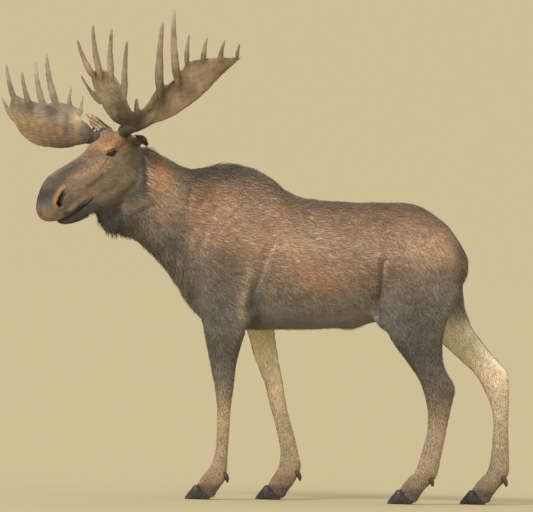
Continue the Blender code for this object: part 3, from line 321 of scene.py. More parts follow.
# x_front, x_back, y, z, half_width
FORE_LEFT = [(-0.25, -0.1, -0.09, 1.78, 0.03), (-0.31, -0.05, -0.12, 1.67, 0.07),
             (-0.375, -0.035, -0.146, 1.52, 0.088), (-0.425, -0.045, -0.162, 1.36, 0.1),
             (-0.43, -0.08, -0.174, 1.2, 0.102), (-0.415, -0.116, -0.18, 1.08, 0.094),
             (-0.388, -0.14, -0.178, 0.97, 0.08), (-0.362, -0.172, -0.174, 0.85, 0.066),
             (-0.34, -0.19, -0.172, 0.75, 0.058), (-0.318, -0.198, -0.171, 0.66, 0.055),
             (-0.306, -0.207, -0.17, 0.59, 0.053), (-0.3, -0.214, -0.17, 0.52, 0.045),
             (-0.299, -0.217, -0.17, 0.42, 0.039), (-0.3, -0.222, -0.17, 0.31, 0.038),
             (-0.318, -0.226, -0.17, 0.22, 0.043), (-0.338, -0.228, -0.17, 0.178, 0.047),
             (-0.366, -0.232, -0.17, 0.142, 0.046), (-0.385, -0.244, -0.17, 0.112, 0.038),
             (-0.385, -0.262, -0.17, 0.092, 0.022)]
FORE_RIGHT = [(-0.25, -0.1, 0.09, 1.78, 0.03), (-0.31, -0.04, 0.12, 1.67, 0.07),
              (-0.37, -0.02, 0.146, 1.52, 0.088), (-0.39, -0.005, 0.162, 1.36, 0.1),
              (-0.32, 0.008, 0.174, 1.2, 0.102), (-0.205, 0.02, 0.18, 1.08, 0.09),
              (-0.135, 0.03, 0.176, 0.97, 0.074), (-0.1, 0.05, 0.173, 0.85, 0.062),
              (-0.06, 0.07, 0.171, 0.75, 0.056), (-0.022, 0.088, 0.17, 0.66, 0.054),
              (0.0, 0.103, 0.17, 0.57, 0.052), (0.03, 0.13, 0.17, 0.47, 0.042),
              (0.058, 0.165, 0.17, 0.36, 0.038), (0.073, 0.186, 0.17, 0.27, 0.04),
              (0.07, 0.2, 0.17, 0.2, 0.046), (0.052, 0.196, 0.17, 0.162, 0.047),
              (0.036, 0.18, 0.17, 0.138, 0.046), (0.022, 0.164, 0.17, 0.112, 0.038),
              (0.02, 0.146, 0.17, 0.092, 0.022)]
HIND_LEFT = [(0.74, 0.94, -0.12, 1.66, 0.05), (0.675, 1.072, -0.15, 1.53, 0.098),
             (0.655, 1.13, -0.165, 1.4, 0.116), (0.642, 1.112, -0.172, 1.26, 0.118),
             (0.645, 1.058, -0.176, 1.13, 0.108), (0.658, 1.02, -0.18, 1.03, 0.096),
             (0.7, 1.004, -0.184, 0.94, 0.078), (0.76, 1.006, -0.187, 0.86, 0.063),
             (0.82, 1.028, -0.188, 0.78, 0.053), (0.866, 1.072, -0.189, 0.71, 0.048),
             (0.885, 1.085, -0.189, 0.665, 0.046), (0.902, 1.072, -0.189, 0.61, 0.045),
             (0.918, 1.056, -0.188, 0.53, 0.04), (0.918, 1.04, -0.186, 0.44, 0.038),
             (0.902, 1.026, -0.183, 0.36, 0.038), (0.88, 1.008, -0.179, 0.27, 0.041),
             (0.86, 0.995, -0.176, 0.2, 0.046), (0.842, 0.982, -0.173, 0.16, 0.047),
             (0.815, 0.95, -0.171, 0.12, 0.043), (0.8, 0.925, -0.17, 0.095, 0.032)]
HIND_RIGHT = [(0.74, 0.94, 0.12, 1.66, 0.05), (0.675, 1.072, 0.15, 1.53, 0.098),
              (0.66, 1.122, 0.165, 1.4, 0.116), (0.7, 1.118, 0.172, 1.27, 0.118),
              (0.78, 1.135, 0.176, 1.15, 0.108), (0.87, 1.17, 0.18, 1.05, 0.096),
              (0.96, 1.225, 0.184, 0.965, 0.08), (1.055, 1.295, 0.187, 0.88, 0.064),
              (1.13, 1.358, 0.188, 0.815, 0.054), (1.175, 1.392, 0.189, 0.775, 0.048),
              (1.208, 1.398, 0.189, 0.735, 0.046), (1.236, 1.4, 0.189, 0.69, 0.045),
              (1.272, 1.402, 0.189, 0.62, 0.042), (1.298, 1.402, 0.188, 0.55, 0.04),
              (1.308, 1.403, 0.186, 0.45, 0.038), (1.302, 1.408, 0.183, 0.35, 0.038),
              (1.295, 1.412, 0.179, 0.26, 0.041), (1.283, 1.412, 0.176, 0.2, 0.046),
              (1.262, 1.402, 0.173, 0.168, 0.047), (1.236, 1.39, 0.171, 0.142, 0.046),
              (1.214, 1.366, 0.17, 0.112, 0.038), (1.214, 1.345, 0.17, 0.092, 0.022)]
LEGS = {"foreleg_left": FORE_LEFT, "foreleg_right": FORE_RIGHT, "hindleg_left": HIND_LEFT,
        "hindleg_right": HIND_RIGHT}
# x of the toes' tip, y of the foot
FEET = {"foreleg_left": (-0.47, -0.17), "foreleg_right": (-0.062, 0.17), "hindleg_left": (0.702, -0.17),
        "hindleg_right": (1.128, 0.17)}
# one digit, from the fetlock to the heel bulb:
# front and back measured from the toe, offset from the foot's middle, z, half_width
DIGIT = [(0.13, 0.24, 0.012, 0.17, 0.028), (0.115, 0.243, 0.018, 0.15, 0.033),
         (0.084, 0.234, 0.024, 0.115, 0.032), (0.067, 0.214, 0.029, 0.085, 0.031),
         (0.072, 0.193, 0.035, 0.055, 0.024), (0.088, 0.18, 0.0355, 0.03, 0.022),
         (0.104, 0.17, 0.0355, 0.011, 0.017), (0.115, 0.16, 0.0355, 0.0045, 0.009)]
# where the dewclaws leave the fetlock: x, z
DEWCLAWS = {"foreleg_left": (-0.238, 0.142), "foreleg_right": (0.182, 0.155),
            "hindleg_left": (0.948, 0.148), "hindleg_right": (1.382, 0.15)}
# side, lean (outward, forward, up), root (s, u, l), how far the cup faces outwards, length
EARS = {"ear_left": (1, (0.87, 0.36, 0.22), (-0.015, 0.014, 0.096), 0.6, 0.215),
        "ear_right": (-1, (0.62, 0.14, 0.77), (0.006, 0.032, 0.108), -0.3, 0.25)}


def ear_axes(side, lean, root, outward):
    """Root of an ear, the way it points, its width and the way its cup faces."""
    aim = unit(side * lean[0] * HEAD_L + lean[1] * HEAD_F + lean[2] * HEAD_U)
    facing = HEAD_F * 0.8 + side * HEAD_L * outward
    facing = unit(facing - aim * np.dot(facing, aim))
    return head_point(root[0], root[1], side * root[2]), aim, np.cross(aim, facing), facing


def ear_shape(solid, side, lean, root, outward, length):
    """A cupped leaf on a short round stalk."""
    base, aim, wide, facing = ear_axes(side, lean, root, outward)
    widest = 0.054
    a = round_angles(20)
    rings = []
    for t in np.linspace(0, 1, 15):
        half = widest * (0.42 + 1.72 * t * (1 - t) ** 0.55 + 0.06 * t) * (1 - t**5) + 0.003
        deep = 0.016 * (0.5 + 0.9 * (1 - t) ** 3)
        cup = 0.036 * math.sin(math.pi * min(1, t * 1.1)) * (half / widest) ** 2
        x = np.cos(a) * half
        y = np.sin(a) * deep * (1 - 0.15 * np.abs(np.cos(a))) + cup * ((x / widest) ** 2 - 0.4)
        rings.append(base + aim * (length * t - 0.02) + wide * x[:, None] + facing * y[:, None])
    closed_loft(solid, rings)


# on each side of the head: (s, u, l), radii
HEAD_LUMPS = [((0.165, 0.070, 0.092), (0.080, 0.036, 0.027)),    # brow over the eye
              ((0.20, -0.016, 0.085), (0.075, 0.030, 0.036)),    # cheekbone
              ((0.125, -0.14, 0.072), (0.115, 0.036, 0.098)),    # jaw muscle
              ((0.610, -0.045, 0.068), (0.080, 0.030, 0.066)),   # nostril wing
              ((0.60, -0.120, 0.050), (0.10, 0.036, 0.040))]     # hanging upper lip
# on each side of the body: (x, y, z), radii
PAIRED_LUMPS = [((0.62, 0.150, 1.640), (0.13, 0.052, 0.060)),    # hip point
                ((0.78, 0.150, 1.50), (0.20, 0.095, 0.16)),      # haunch
                ((-0.44, 0.105, 1.33), (0.085, 0.085, 0.16))]    # breast
LUMPS = [((0.665, -0.165, 1.13), (0.085, 0.060, 0.14)),          # left flank fold
         ((0.735, 0.165, 1.235), (0.100, 0.062, 0.14)),          # right flank fold
         ((-0.135, -0.185, 1.10), (0.050, 0.055, 0.080)),        # left elbow
         ((-0.005, 0.185, 1.11), (0.050, 0.055, 0.080)),         # right elbow
         ((0.45, 0.0, 1.035), (0.10, 0.045, 0.045))]             # sheath
# x, y, z, half_width, half_depth
BELL = [(-0.965, -0.185, 1.745, 0.045, 0.085), (-0.965, -0.18, 1.66, 0.042, 0.095),
        (-0.955, -0.172, 1.6, 0.038, 0.08), (-0.935, -0.16, 1.55, 0.032, 0.055),
        (-0.92, -0.15, 1.518, 0.02, 0.025)]
TAIL = [(1.06, 0, 1.53, 0.03, 0.02), (1.095, 0, 1.478, 0.038, 0.023), (1.12, 0, 1.425, 0.036, 0.022),
        (1.135, 0, 1.375, 0.022, 0.014), (1.14, 0, 1.35, 0.008, 0.006)]
TAIL_FORWARD = np.array([-0.93, 0, -0.36])


def flesh_shells():
    """Every mass of the animal, overlapping its neighbours."""
    solid = Solid()
    body_loft(solid, TRUNK, 70)
    neck_loft(solid, NECK, 40)
    head_loft(solid, SKULL, 48, 0.86)
    head_loft(solid, JAW, 34, 0.92)
    for rows in LEGS.values():
        leg_loft(solid, rows, 80)
    across = np.array([HEAD_F, HEAD_L, HEAD_U])
    for side in (1, -1):
        for (s, u, l), radii in HEAD_LUMPS:
            ellipsoid(solid, head_point(s, u, side * l), radii, across)
        tube(solid, [tuple(head_point(0.1, 0.05, side * 0.05)) + (0.045,),
                     tuple(head_point(0.075, 0.095, side * 0.085)) + (0.038,),
                     tuple(antler_point(side, 0.115, 0.0, 0.004)) + (0.030,)], 8)  # the antler's stalk
        for (x, y, z), radii in PAIRED_LUMPS:
            ellipsoid(solid, (x, side * y, z), radii)
    for centre, radii in LUMPS:
        ellipsoid(solid, centre, radii)
    for rows, wide, forward, ring in ((BELL, HEAD_L, NOSEWARD, 20), (TAIL, LEFT, TAIL_FORWARD, 16)):
        closed_loft(solid, [station(np.array([x, y, z]), wide, forward, half, deep, deep, ring=ring)
                            for x, y, z, half, deep in smooth_rows(rows, 12)])
    for ear in EARS.values():
        ear_shape(solid, *ear)
    for toe, y in FEET.values():
        for d in (-1, 1):
            leg_loft(solid, [(toe + front, toe + back, y + d * off, z, half)
                             for front, back, off, z, half in DIGIT], 16, 18)
    return solid


# out, forward, up, radius
BEAMS = {1: [(0.098, 0.0, 0.004, 0.033), (0.15, 0.004, 0.012, 0.031), (0.2, -0.012, 0.022, 0.032),
             (0.27, -0.038, 0.045, 0.034), (0.36, -0.07, 0.09, 0.024)],
         -1: [(0.098, 0.0, 0.004, 0.033), (0.15, 0.012, -0.006, 0.031), (0.2, 0.02, -0.012, 0.032),
              (0.27, 0.006, 0.002, 0.034), (0.36, -0.02, 0.035, 0.024)]}
# one edge, the other edge, rim, thickness, dish; places are out, forward and up from the antlers' middle
PALMS = {
    # left: main palm, brow palm and the web between them
    1: [([(0.22, -0.022, 0.012), (0.32, -0.068, 0.03), (0.42, -0.112, 0.057), (0.53, -0.157, 0.11),
          (0.63, -0.214, 0.185), (0.715, -0.275, 0.28), (0.765, -0.325, 0.335), (0.792, -0.36, 0.374)],
         [(0.22, -0.01, 0.05), (0.29, 0.012, 0.095), (0.37, 0.01, 0.155), (0.44, -0.004, 0.23)],
         [(0.792, -0.36, 0.374), (0.802, -0.305, 0.368), (0.765, -0.22, 0.37), (0.69, -0.148, 0.368),
          (0.615, -0.095, 0.35), (0.54, -0.062, 0.275), (0.49, -0.035, 0.238), (0.44, -0.004, 0.235)],
         0.032, -0.04),
        ([(0.215, -0.008, 0.02), (0.285, 0.052, 0.04), (0.345, 0.112, 0.08), (0.38, 0.165, 0.14),
          (0.39, 0.188, 0.215)],
         [(0.135, 0.02, 0.03), (0.125, 0.085, 0.055), (0.135, 0.15, 0.105), (0.17, 0.233, 0.195)],
         [(0.39, 0.188, 0.215), (0.376, 0.208, 0.238), (0.355, 0.238, 0.285), (0.315, 0.262, 0.325),
          (0.245, 0.297, 0.335), (0.195, 0.285, 0.28), (0.17, 0.233, 0.195)],
         0.028, -0.035),
        ([(0.2, 0.01, 0.018), (0.28, 0.052, 0.045), (0.34, 0.1, 0.095)],
         [(0.22, -0.02, 0.03), (0.28, -0.012, 0.07), (0.33, 0.01, 0.12)],
         [(0.34, 0.1, 0.095), (0.325, 0.062, 0.09), (0.33, 0.01, 0.12)],
         0.026, 0.0)],
    # right: main palm, brow palm
    -1: [([(0.22, -0.012, -0.012), (0.34, -0.06, 0.0), (0.46, -0.11, 0.035), (0.58, -0.17, 0.085),
           (0.7, -0.26, 0.155), (0.795, -0.345, 0.225)],
          [(0.22, 0.02, 0.018), (0.34, 0.052, 0.03), (0.47, 0.06, 0.065), (0.6, 0.04, 0.145),
           (0.7, -0.012, 0.245)],
          [(0.795, -0.345, 0.225), (0.782, -0.24, 0.262), (0.745, -0.13, 0.272), (0.7, -0.012, 0.245)],
          0.03, 0.045),
         ([(0.14, 0.018, -0.024), (0.22, 0.085, -0.046), (0.3, 0.152, -0.06), (0.38, 0.24, -0.045),
           (0.45, 0.317, 0.01), (0.478, 0.385, 0.125)],
          [(0.14, 0.03, 0.022), (0.17, 0.085, 0.085), (0.225, 0.16, 0.14), (0.285, 0.245, 0.188),
           (0.345, 0.325, 0.215)],
          [(0.478, 0.385, 0.125), (0.465, 0.405, 0.2), (0.42, 0.388, 0.26), (0.385, 0.352, 0.235),
           (0.345, 0.325, 0.215)],
          0.028, 0.035)]}
# how far along a tine, and its radius there as a share of the root's: it swells out of the palm, then narrows
TINE_TAPER = [(0.0, 0.42), (0.1, 0.66), (0.22, 0.84), (0.36, 0.8), (0.52, 0.68), (0.7, 0.54), (0.86, 0.42),
              (0.95, 0.33), (1.0, 0.2)]
# root (l, f, u), tip (l, f, u), root radius, forward bow
TINES = {1: [((0.44, -0.02, 0.16), (0.56, 0.027, 0.59), 0.033, 0.012),
             ((0.545, -0.075, 0.22), (0.624, -0.012, 0.662), 0.03, 0.014),
             ((0.605, -0.1, 0.33), (0.69, -0.065, 0.506), 0.021, 0.008),
             ((0.69, -0.155, 0.34), (0.77, -0.135, 0.484), 0.021, 0.008),
             ((0.755, -0.228, 0.34), (0.842, -0.206, 0.462), 0.021, 0.006),
             ((0.81, -0.31, 0.36), (0.882, -0.281, 0.44), 0.018, 0.004),
             ((0.155, 0.2, 0.15), (0.2, 0.362, 0.311), 0.018, 0.008),
             ((0.235, 0.285, 0.28), (0.26, 0.42, 0.508), 0.024, 0.014),
             ((0.275, 0.27, 0.28), (0.34, 0.362, 0.59), 0.026, 0.014),
             ((0.335, 0.24, 0.27), (0.42, 0.286, 0.56), 0.026, 0.012),
             ((0.375, 0.18, 0.15), (0.48, 0.224, 0.488), 0.025, 0.01),
             ((0.31, 0.045, 0.06), (0.332, 0.068, 0.172), 0.024, 0.004)],
         -1: [((0.47, 0.37, 0.11), (0.5, 0.435, 0.256), 0.02, 0.006),
              ((0.43, 0.385, 0.21), (0.42, 0.449, 0.438), 0.022, 0.012),
              ((0.355, 0.33, 0.17), (0.36, 0.384, 0.392), 0.022, 0.01),
              ((0.695, -0.01, 0.19), (0.826, -0.038, 0.508), 0.026, 0.014),
              ((0.745, -0.13, 0.22), (0.862, -0.145, 0.57), 0.028, 0.016),
              ((0.775, -0.235, 0.22), (0.82, -0.287, 0.37), 0.019, 0.006),
              ((0.785, -0.32, 0.19), (0.8, -0.355, 0.318), 0.017, 0.004)]}


def antler_shells(side):
    solid = Solid()

    def place(point):
        return antler_point(side, *point)

    tube(solid, [tuple(place(r[:3])) + (r[3],) for r in BEAMS[side]], 22, 20)
    out = antler_point(side, 1, 0, 0) - antler_point(side, 0, 0, 0)
    burr = place(BURR)
    tube(solid, [tuple(burr - out * 0.013) + (0.036,), tuple(burr - out * 0.006) + (0.044,),
                 tuple(burr + out * 0.006) + (0.044,), tuple(burr + out * 0.016) + (0.035,)], 9, 24)
    for edge_a, edge_b, rim, thick, dish in PALMS[side]:
        palm(solid, [place(p) for p in edge_a], [place(p) for p in edge_b], [place(p) for p in rim], thick,
             dish * side)
    for root, tip, radius, bow in TINES[side]:
        a, b = place(root), place(tip)
        rows = []
        for t, share in TINE_TAPER:
            point = a + (b - a) * t + NOSEWARD * bow * math.sin(math.pi * t)
            rows.append(tuple(point) + (radius * share,))
        tube(solid, rows, 20, 12)
    return solid


SHIFT = np.array(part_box("eye_left")[0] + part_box("eye_left")[1]) / 2 - head_point(*EYE_AT)
FLESH_NODES = [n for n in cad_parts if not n.startswith(("antler", "eye", "claw", "dewclaw"))]
TRUNK_X = [r[0] for r in TRUNK]
TRUNK_TOP = [r[1] for r in TRUNK]
TRUNK_BOTTOM = [r[3] for r in TRUNK]


# ------------------------------------------------------------------ fields over the body
def step(value, low, high):
    """0 below low, 1 above high, smooth between; runs the other way when low is the larger."""
    t = np.clip((value - low) / (high - low), 0, 1)
    return t * t * (3 - 2 * t)


def ripple(points, size, seed, waves=7):
    """Smooth seeded noise, mostly between -1 and 1, with features about `size` across."""
    rng = np.random.default_rng(seed)
    total = np.zeros(len(points))
    for _ in range(waves):
        way = rng.normal(size=3)
        way *= TAU / (size * rng.uniform(0.7, 1.8)) / np.linalg.norm(way)
        total += np.sin(points @ way + rng.uniform(0, TAU))
    return np.clip(total / waves * 2, -1.3, 1.3)


def to_line(a, b, line):
    """Distance from points (a, b) to a polyline, and how far along it (0 to 1) the nearest place is."""
    best, where = np.full(len(a), 1e9), np.zeros(len(a))
    for k, ((ax, ay), (bx, by)) in enumerate(zip(line, line[1:])):
        dx, dy = bx - ax, by - ay
        t = np.clip(((a - ax) * dx + (b - ay) * dy) / (dx * dx + dy * dy), 0, 1)
        d = np.hypot(a - ax - t * dx, b - ay - t * dy)
        nearer = d < best
        best = np.where(nearer, d, best)
        where = np.where(nearer, (k + t) / (len(line) - 1), where)
    return best, where


def along_line(a, b, line, width):
    """1 on a polyline, falling off over `width` beside it and towards its ends."""
    d, t = to_line(a, b, line)
    return bell_curve(d, width) * step(t, -0.001, 0.12) * step(t, 1.001, 0.88)


def bell_curve(value, width):
    return np.exp(-((value / width) ** 2))


def spot(a, b, centre, radii):
    return np.exp(-(((a - centre[0]) / radii[0]) ** 2 + ((b - centre[1]) / radii[1]) ** 2))


def mixed(base, weight, other):
    """base where the weight is 0, other where it is 1; one weight for each point."""
    weight = weight[:, None]
    return base * (1 - weight) + weight * np.asarray(other, float)


def head_coordinates(points):
    """s along the face, u up, l outwards."""
    local = points - HEAD_AT
    return local @ HEAD_F, local @ HEAD_U, local @ HEAD_L


def ear_weights(points):
    """For each ear: how far along it a point lies, 0 to 1, how far across, if it is on it, and the axes."""
    found = []
    for ear in EARS.values():
        base, aim, wide, facing = ear_axes(*ear[:-1])
        local = points - base
        t, across = local @ aim / ear[-1], local @ wide
        on = (t > 0.1) & (t < 1.15) & (np.abs(across) < 0.075) & (np.abs(local @ facing) < 0.055)
        found.append((t, across, on, aim, facing))
    return found


def neck_top(x):
    return 1.955 - 0.42 * (x + 0.62)


def regions(points):
    """Soft weights, 0 to 1, of the body's parts."""
    x, _, z = points.T
    s, u, l = head_coordinates(points)
    past_jaw = s + 0.04 - 0.6 * np.clip(-0.02 - u, 0, 0.25)
    head = step(past_jaw, -0.022, 0.022) * step(u, -0.36, -0.31)
    ear = np.zeros(len(points))
    for t, _, on, _, _ in ear_weights(points):
        ear = np.maximum(ear, on * step(t, 0.1, 0.2))
    bell = step(z, 1.69, 1.62) * step(x, -0.84, -0.88) * step(z, 1.45, 1.47) * step(x, -1.09, -1.05)
    head = head * (1 - bell)
    neck = step(x, -0.42, -0.6) * (1 - np.maximum(head, ear)) * (1 - bell)
    top = np.where(x < -0.5, neck_top(x), np.interp(x, TRUNK_X, TRUNK_TOP))
    crest = step(x, -1.0, -0.85) * step(x, 0.36, 0.1)
    crest = crest * step(z - top, -0.16, -0.03) * (1 - np.maximum(head, ear))
    return {"head": head * (1 - ear), "ear": ear, "bell": bell, "neck": neck, "leg": step(z, 1.02, 0.93),
            "crest": crest, "s": s, "u": u, "l": l, "past_jaw": past_jaw}


# ------------------------------------------------------------------ the lie, size and colour of the coat
def coat_lie(points, normals):
    """The way the hair runs at each point, along the skin."""
    x, y, z = points.T
    r = regions(points)
    s, u, l = r["s"], r["u"], r["l"]
    neck = mixed(np.array([0.8, 0.12, -0.5]), step(z, 1.95, 1.45), (0.45, 0.0, -0.9))
    face_fall = 0.25 + 0.9 * step(u, -0.02, -0.2) * step(s, 0.45, 0.2)
    face = -HEAD_F - face_fall[:, None] * HEAD_U
    face = face + (np.sign(l) * 0.35 * step(u, 0.02, 0.09))[:, None] * HEAD_L
    face = mixed(face, step(s, 0.6, 0.7), -HEAD_U - 0.2 * HEAD_F)
    way = np.zeros(points.shape) + (1.0, 0, -0.3)
    for weight, run in [
            (step(z, 1.42, 1.12), (0.75, 0, -0.75)),
            (step(x, 0.60, 0.95) * step(z, 1.72, 1.55), (0.42, 0, -0.95)),     # haunch
            (step(normals[:, 2], -0.55, -0.85), (1.0, 0, 0)),                  # belly
            (step(x, -0.36, -0.52) * step(z, 1.62, 1.45), (0.35, 0, -0.95)),   # chest
            (r["neck"], neck),
            (r["leg"], (0.1, 0, -1.0)),
            (r["head"], face),
            *[(on * step(t, 0.08, 0.2), aim) for t, _, on, aim, _ in ear_weights(points)],
            (r["bell"], (0.12, 0.02, -1.0)),
            (step(x, 1.05, 1.1) * step(z, 1.57, 1.53) * step(np.abs(y), 0.05, 0.035), (0.05, 0, -1.0))]:
        way = mixed(way, weight, run)
    way = way - (way * normals).sum(axis=1)[:, None] * normals
    size = np.linalg.norm(way, axis=1)
    spare = np.cross(normals, (0.0, 1.0, 0.0)) + 1e-6
    way = np.where(size[:, None] < 0.05, spare, way)
    return way / np.linalg.norm(way, axis=1)[:, None]


def coat_size(points, normals):
    """Length and width of the tufts and the depth of the coat."""
    x, y, z = points.T
    r = regions(points)
    s, u, head = r["s"], r["u"], r["head"]
    under = normals[:, 2]
    size = np.zeros(points.shape) + (0.034, 0.0034, 0.0085)
    for weight, wanted in [
            (r["neck"], (0.042, 0.0036, 0.0105)),
            (step(x, -0.40, -0.54) * step(z, 1.60, 1.45) * (1 - r["leg"]), (0.050, 0.0040, 0.013)),  # chest
            (r["crest"], (0.062, 0.0042, 0.016)),
            (r["neck"] * step(z + 0.42 * (x + 0.62), 1.46, 1.36), (0.055, 0.0040, 0.014)),  # throat
            (step(under, -0.4, -0.8) * step(z, 1.2, 1.1), (0.040, 0.0036, 0.010)),  # belly
            (step(z, 1.25, 0.95) * step(np.abs(y), 0.06, 0.1) * (1 - r["neck"]), (0.026, 0.003, 0.0065)),
            (step(z, 0.8, 0.6), (0.02, 0.0029, 0.0042)),
            (step(z, 0.3, 0.2), (0.015, 0.0025, 0.0028)),
            (step(z, 0.13, 0.10), (0.021, 0.0024, 0.0035)),                      # over the hoof's edge
            (head, (0.015, 0.0023, 0.0034)),
            (head * step(s, 0.46, 0.60), (0.0095, 0.0019, 0.0019)),              # muzzle
            (head * step(u, -0.185, -0.225) * step(s, 0.60, 0.50), (0.018, 0.0023, 0.0045)),  # chin
            (head * step(s, 0.10, 0.0) * step(u, 0.0, -0.10), (0.024, 0.0028, 0.0055)),  # jaw
            (step(np.hypot(s - EYE_AT[0], u - EYE_AT[1]), 0.06, 0.03) * head, (0.007, 0.0014, 0.0012)),
            (r["ear"], (0.016, 0.0023, 0.0028)),
            *[(on * ear_cup(normals, t, across, facing), (0.02, 0.0024, 0.005))
              for t, across, on, _, facing in ear_weights(points)],
            (r["bell"], (0.052, 0.0038, 0.013)),
            (step(x, 1.06, 1.1) * step(z, 1.56, 1.52) * step(np.abs(y), 0.05, 0.035),
             (0.045, 0.0036, 0.007))]:
        size = mixed(size, weight, wanted)
    return size.T


def ear_cup(normals, t, across, facing):
    """1 inside the hollow of an ear."""
    return step((normals @ facing), 0.1, 0.5) * step(np.abs(across), 0.046, 0.03) * step(t, 0.98, 0.8)


def trunk_height(x, z):
    top = np.interp(x, TRUNK_X, TRUNK_TOP)
    bottom = np.interp(x, TRUNK_X, TRUNK_BOTTOM)
    return (z - bottom) / (top - bottom)


# height in the trunk and its shade, from the belly to the back: paler on the underside as painted light
# against its own shade, darker low on the flank as the belly's painted shade, a painted highlight high on the
# side, and darker towards the back
SIDE_SHADES = [(0.0, (142, 130, 119)), (0.1, (138, 126, 113)), (0.18, (128, 114, 99)),
               (0.26, (126, 106, 87)), (0.34, (127, 105, 84)), (0.42, (136, 109, 85)),
               (0.5, (147, 118, 93)), (0.58, (161, 128, 101)), (0.76, (151, 119, 93)),
               (0.88, (130, 102, 79)), (0.95, (113, 90, 70)), (1.0, (92, 79, 65))]
# side view: centre (x, z), radii, shade, strength; some dabs are painted highlight and painted shade
BODY_SPOTS = [((-0.26, 1.93), (0.26, 0.07), (98, 89, 77), 0.9),
              ((0.16, 1.81), (0.2, 0.05), (92, 82, 70), 0.75),
              ((-0.32, 1.68), (0.15, 0.12), (170, 127, 96), 0.6),
              ((-0.12, 1.5), (0.16, 0.12), (158, 119, 92), 0.4),
              ((-0.3, 1.22), (0.1, 0.17), (98, 86, 72), 0.8),
              ((-0.6, 1.42), (0.085, 0.3), (120, 106, 90), 0.85),
              ((-0.46, 1.14), (0.075, 0.2), (104, 95, 83), 0.9),
              # painted shade in the crease behind the elbow
              ((-0.1, 1.13), (0.05, 0.16), (84, 79, 71), 0.9),
              # these two: painted highlight along the middle of the side
              ((0.3, 1.3), (0.22, 0.08), (168, 125, 96), 0.5),
              ((0.25, 1.52), (0.25, 0.1), (172, 138, 110), 0.4),
              # painted shade in the flank's fold
              ((0.632, 1.22), (0.015, 0.19), (74, 69, 61), 0.9),
              # painted highlight on the haunch
              ((0.86, 1.49), (0.16, 0.11), (170, 139, 110), 0.6),
              ((1.1, 1.46), (0.055, 0.26), (92, 75, 60), 0.8),
              ((0.86, 1.2), (0.18, 0.13), (106, 91, 74), 0.8),
              ((0.84, 1.05), (0.2, 0.13), (86, 80, 69), 0.85),
              ((-0.3, 1.06), (0.13, 0.1), (92, 85, 74), 0.8)]
KNEE, HOCK = 0.66, 0.60          # where the dark of the legs ends
NECK_DEPTH = 0.52                # crest to throat
# a painted highlight along the triceps' back edge, behind the elbow, side view
PAINTED_HIGHLIGHT_BEHIND_ELBOW = [(-0.176, 1.0), (-0.172, 1.15), (-0.147, 1.28), (-0.12, 1.36)]
# the first dab is a painted orange highlight behind the jaw
NECK_SPOTS = [((-0.67, 1.86), (0.055, 0.11), (182, 134, 98), 0.9),
              ((-0.62, 1.66), (0.11, 0.11), (162, 127, 100), 0.6),
              ((-0.84, 1.69), (0.13, 0.13), (76, 71, 63), 0.9),
              ((-0.53, 1.52), (0.09, 0.15), (100, 91, 78), 0.8)]
# on the face: centre (s, u), radii, shade, strength
FACE_SPOTS = [((0.1, 0.085), (0.16, 0.045), (134, 97, 65), 0.85),
              ((0.22, 0.1), (0.12, 0.028), (150, 110, 73), 0.7),
              ((0.215, 0.08), (0.032, 0.018), (190, 152, 102), 0.6),
              ((0.36, 0.085), (0.12, 0.03), (112, 86, 64), 0.8),
              ((0.52, 0.06), (0.1, 0.035), (86, 74, 62), 0.85),
              ((0.66, 0.01), (0.085, 0.065), (60, 54, 47), 0.9),
              ((0.6, -0.09), (0.1, 0.035), (97, 84, 69), 0.7),
              ((0.735, -0.115), (0.035, 0.045), (138, 107, 88), 0.85),
              ((0.088, -0.045), (0.05, 0.06), (78, 68, 55), 0.6),
              ((0.035, -0.1), (0.085, 0.16), (80, 72, 61), 0.8),
              ((0.205, -0.135), (0.09, 0.05), (124, 98, 72), 0.6),
              # these two: the jaw's underside and the lower jaw, darkened as painted shade under the head and
              # the lip
              ((0.18, -0.24), (0.26, 0.06), (82, 75, 64), 0.85),
              ((0.5, -0.215), (0.18, 0.045), (70, 64, 56), 0.95)]
# streaks of the face: line (s, u), width, shade, strength
FACE_LINES = [([(0.34, 0.067), (0.48, 0.076), (0.6, 0.064), (0.65, 0.03)], 0.016, (78, 68, 59), 0.6),
              ([(0.28, 0.092), (0.45, 0.1), (0.6, 0.088)], 0.012, (134, 108, 90), 0.5),
              ([(0.29, -0.04), (0.37, -0.056), (0.44, -0.058)], 0.016, (80, 71, 60), 0.55),
              ([(0.22, 0.024), (0.31, 0.01), (0.376, 0.001), (0.43, 0.012), (0.48, 0.03), (0.53, 0.045)],
               0.0185, (172, 123, 82), 0.6),
              # the lower lip, darkened as painted shade under the mouth
              ([(0.44, -0.158), (0.52, -0.156), (0.6, -0.148), (0.66, -0.128)], 0.02, (60, 54, 47), 0.85),
              ([(0.34, -0.125), (0.4, -0.13), (0.46, -0.116), (0.54, -0.12), (0.62, -0.128)], 0.012,
               (160, 124, 90), 0.7)]
# the left ear's hollow is darkened as painted shade; the right one has the pale hair of the hollow
EAR_CUPS = [(100, 86, 70), (210, 174, 132)]     # inside the left ear and the right one
NOSTRIL = [(0.568, -0.004), (0.602, -0.014), (0.634, -0.03), (0.652, -0.05), (0.645, -0.068)]
NOSTRIL_RIM = [(0.566, 0.014), (0.606, 0.009), (0.648, -0.008), (0.676, -0.036), (0.676, -0.062)]
MOUTH = [(0.405, -0.15), (0.45, -0.164), (0.52, -0.169), (0.6, -0.168), (0.67, -0.163)]


NECK_SHADES = [(0, (96, 86, 72)), (0.12, (122, 102, 83)), (0.35, (156, 125, 97)), (0.62, (147, 118, 94)),
               (0.85, (122, 104, 86)), (1, (104, 93, 79))]
